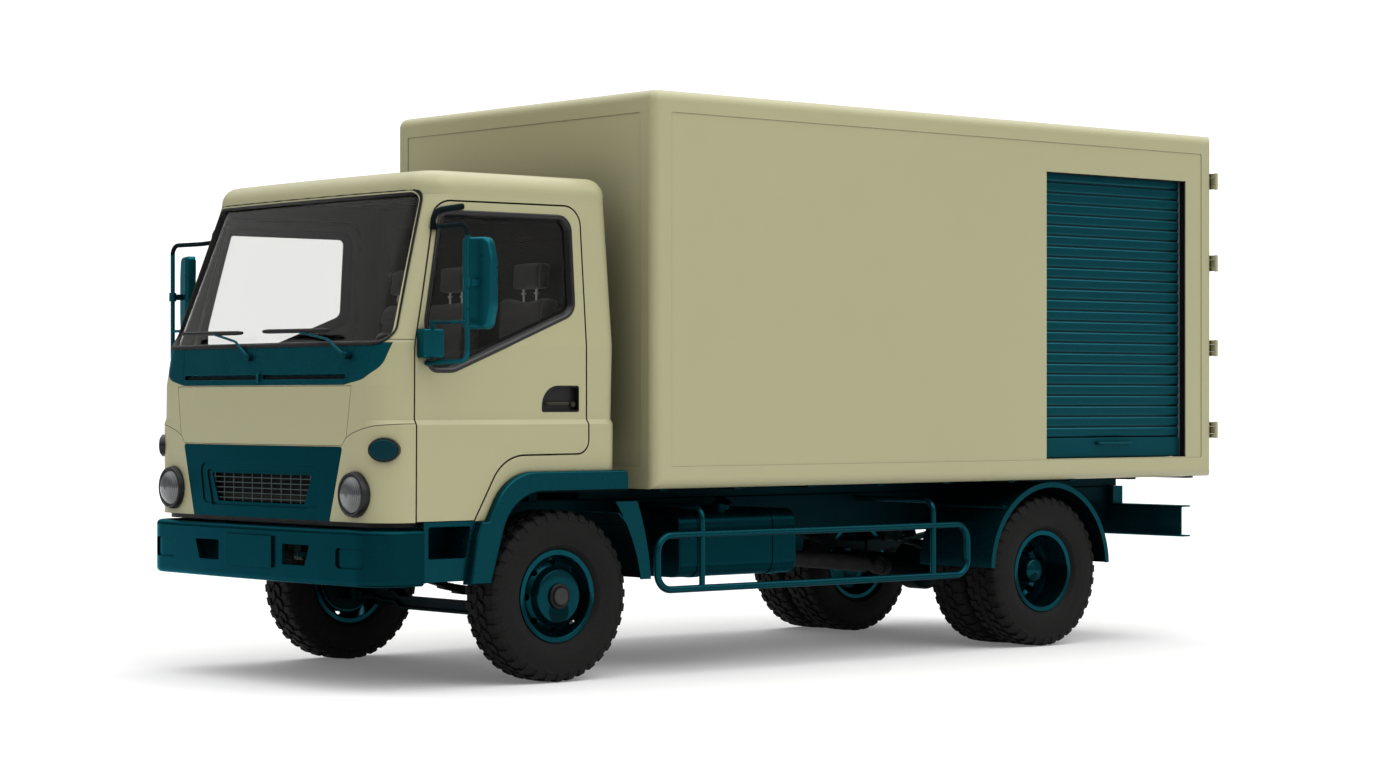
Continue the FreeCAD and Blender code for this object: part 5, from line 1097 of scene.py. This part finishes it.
def make_apron():
    """Dark strip under the cab's face."""
    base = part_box("cab_front_frame")[0].z
    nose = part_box("front_lid")[0].y + 0.030
    half, corner = 0.945, 0.13
    run = [(x, nose + 0.020 * (x / half) ** 2) for x in (-half + corner + 2 * (half - corner) * k / 40
                                                         for k in range(41))]
    corner_y = run[0][1] + corner
    bend = [polar(corner, t * pi / 16) for t in range(8, -1, -1)]
    right_side = [(half - corner + c, corner_y - s) for c, s in bend]
    left_side = [(-x, y) for x, y in reversed(right_side)]
    line = [(-half, corner_y + 0.12)] + left_side + run[1:-1] + right_side + [(half, corner_y + 0.12)]
    share, foot, top = 1 - 0.006 / half, base - 0.022, base + 0.004
    apron = Shape().rings([[(x, y, foot), (x * share, y + 0.006, foot), (x * share, y + 0.006, top), (x, y, top)]
                           for x, y in line], caps=True)
    apron.piece("cab_apron", "black_plastic", "cab", rubber_seal, smooth=40)


def make_wheel_details():
    """Hub rings and caps, wheel nuts and valve stems."""
    for side, sign in SIDES.items():
        out = X * sign
        low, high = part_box(f"front_wheel_{side}")
        face = high.x if sign > 0 else -low.x
        centre = (low + high) / 2
        hub = along((sign * (face - 0.0295), centre.y, centre.z), out)
        section = [(0.0405, 0.0), (0.0595, 0.0), (0.0595, 0.0185), (0.0555, 0.0225), (0.0455, 0.0225),
                   (0.0405, 0.019)]
        ring = Shape().rings([[(*polar(r, tau * k / 48), h) for r, h in section] for k in range(48)],
                             close_run=True, matrix=hub)
        ring.piece(f"hub_ring_{side}", "black_plastic", f"front_wheel_{side}", rubber_seal, smooth=40)
        cap = Shape().disc_stack([(0.0402, 0.018), (0.0402, 0.0275), (0.038, 0.0302), (0.030, 0.0308),
                                  (0.0285, 0.0302)], 48, hub)
        cap.piece(f"hub_cap_{side}", "grey_plastic", f"front_wheel_{side}", hub_grey, smooth=40)
        stem = (sign * (face - 0.085), centre.y + 0.115, centre.z - 0.135)
        valve = Shape().disc_stack([(0.0055, 0), (0.0055, 0.02), (0.004, 0.021), (0.004, 0.034), (0.0048, 0.035),
                                    (0.0048, 0.045)], 14,
                                   along(stem, (out * 0.9 + Vector((0, -0.25, 0.3))).normalized()))
        valve.piece(f"valve_front_{side}", "galvanised", f"front_wheel_{side}", smooth=40)
        low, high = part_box(f"rear_wheels_{side}")
        centre = (low + high) / 2
        disc_x = sum(corner.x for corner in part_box(f"rear_tyres_{side}")) / 2 * sign
        nuts = Shape()
        for k in range(6):
            turn = radians(30 + 60 * k)
            dy, dz = polar(0.105, turn)
            seat = (sign * (disc_x + 0.0085), centre.y + dy, centre.z + dz)
            nuts.disc_stack([(0.0215, 0), (0.0215, 0.003), (0.017, 0.004), (0.0165, 0.024), (0.014, 0.027),
                             (0.010, 0.027), (0.010, 0.036), (0.0085, 0.038)], 6, along(seat, out), turn=turn)
        nuts.piece(f"wheel_nuts_{side}", "dark_steel", f"rear_wheels_{side}", smooth=25)


for make in (make_tyres, make_seals, make_seats, make_door_cards, make_linings, make_mat, make_dials, make_controls,
             make_grille_shade_plate, make_mirror_glasses, make_wiper_blades, make_door_top_seals, make_handle_cups,
             make_shutter_seals, make_louvres, make_apron, make_wheel_details):
    make()
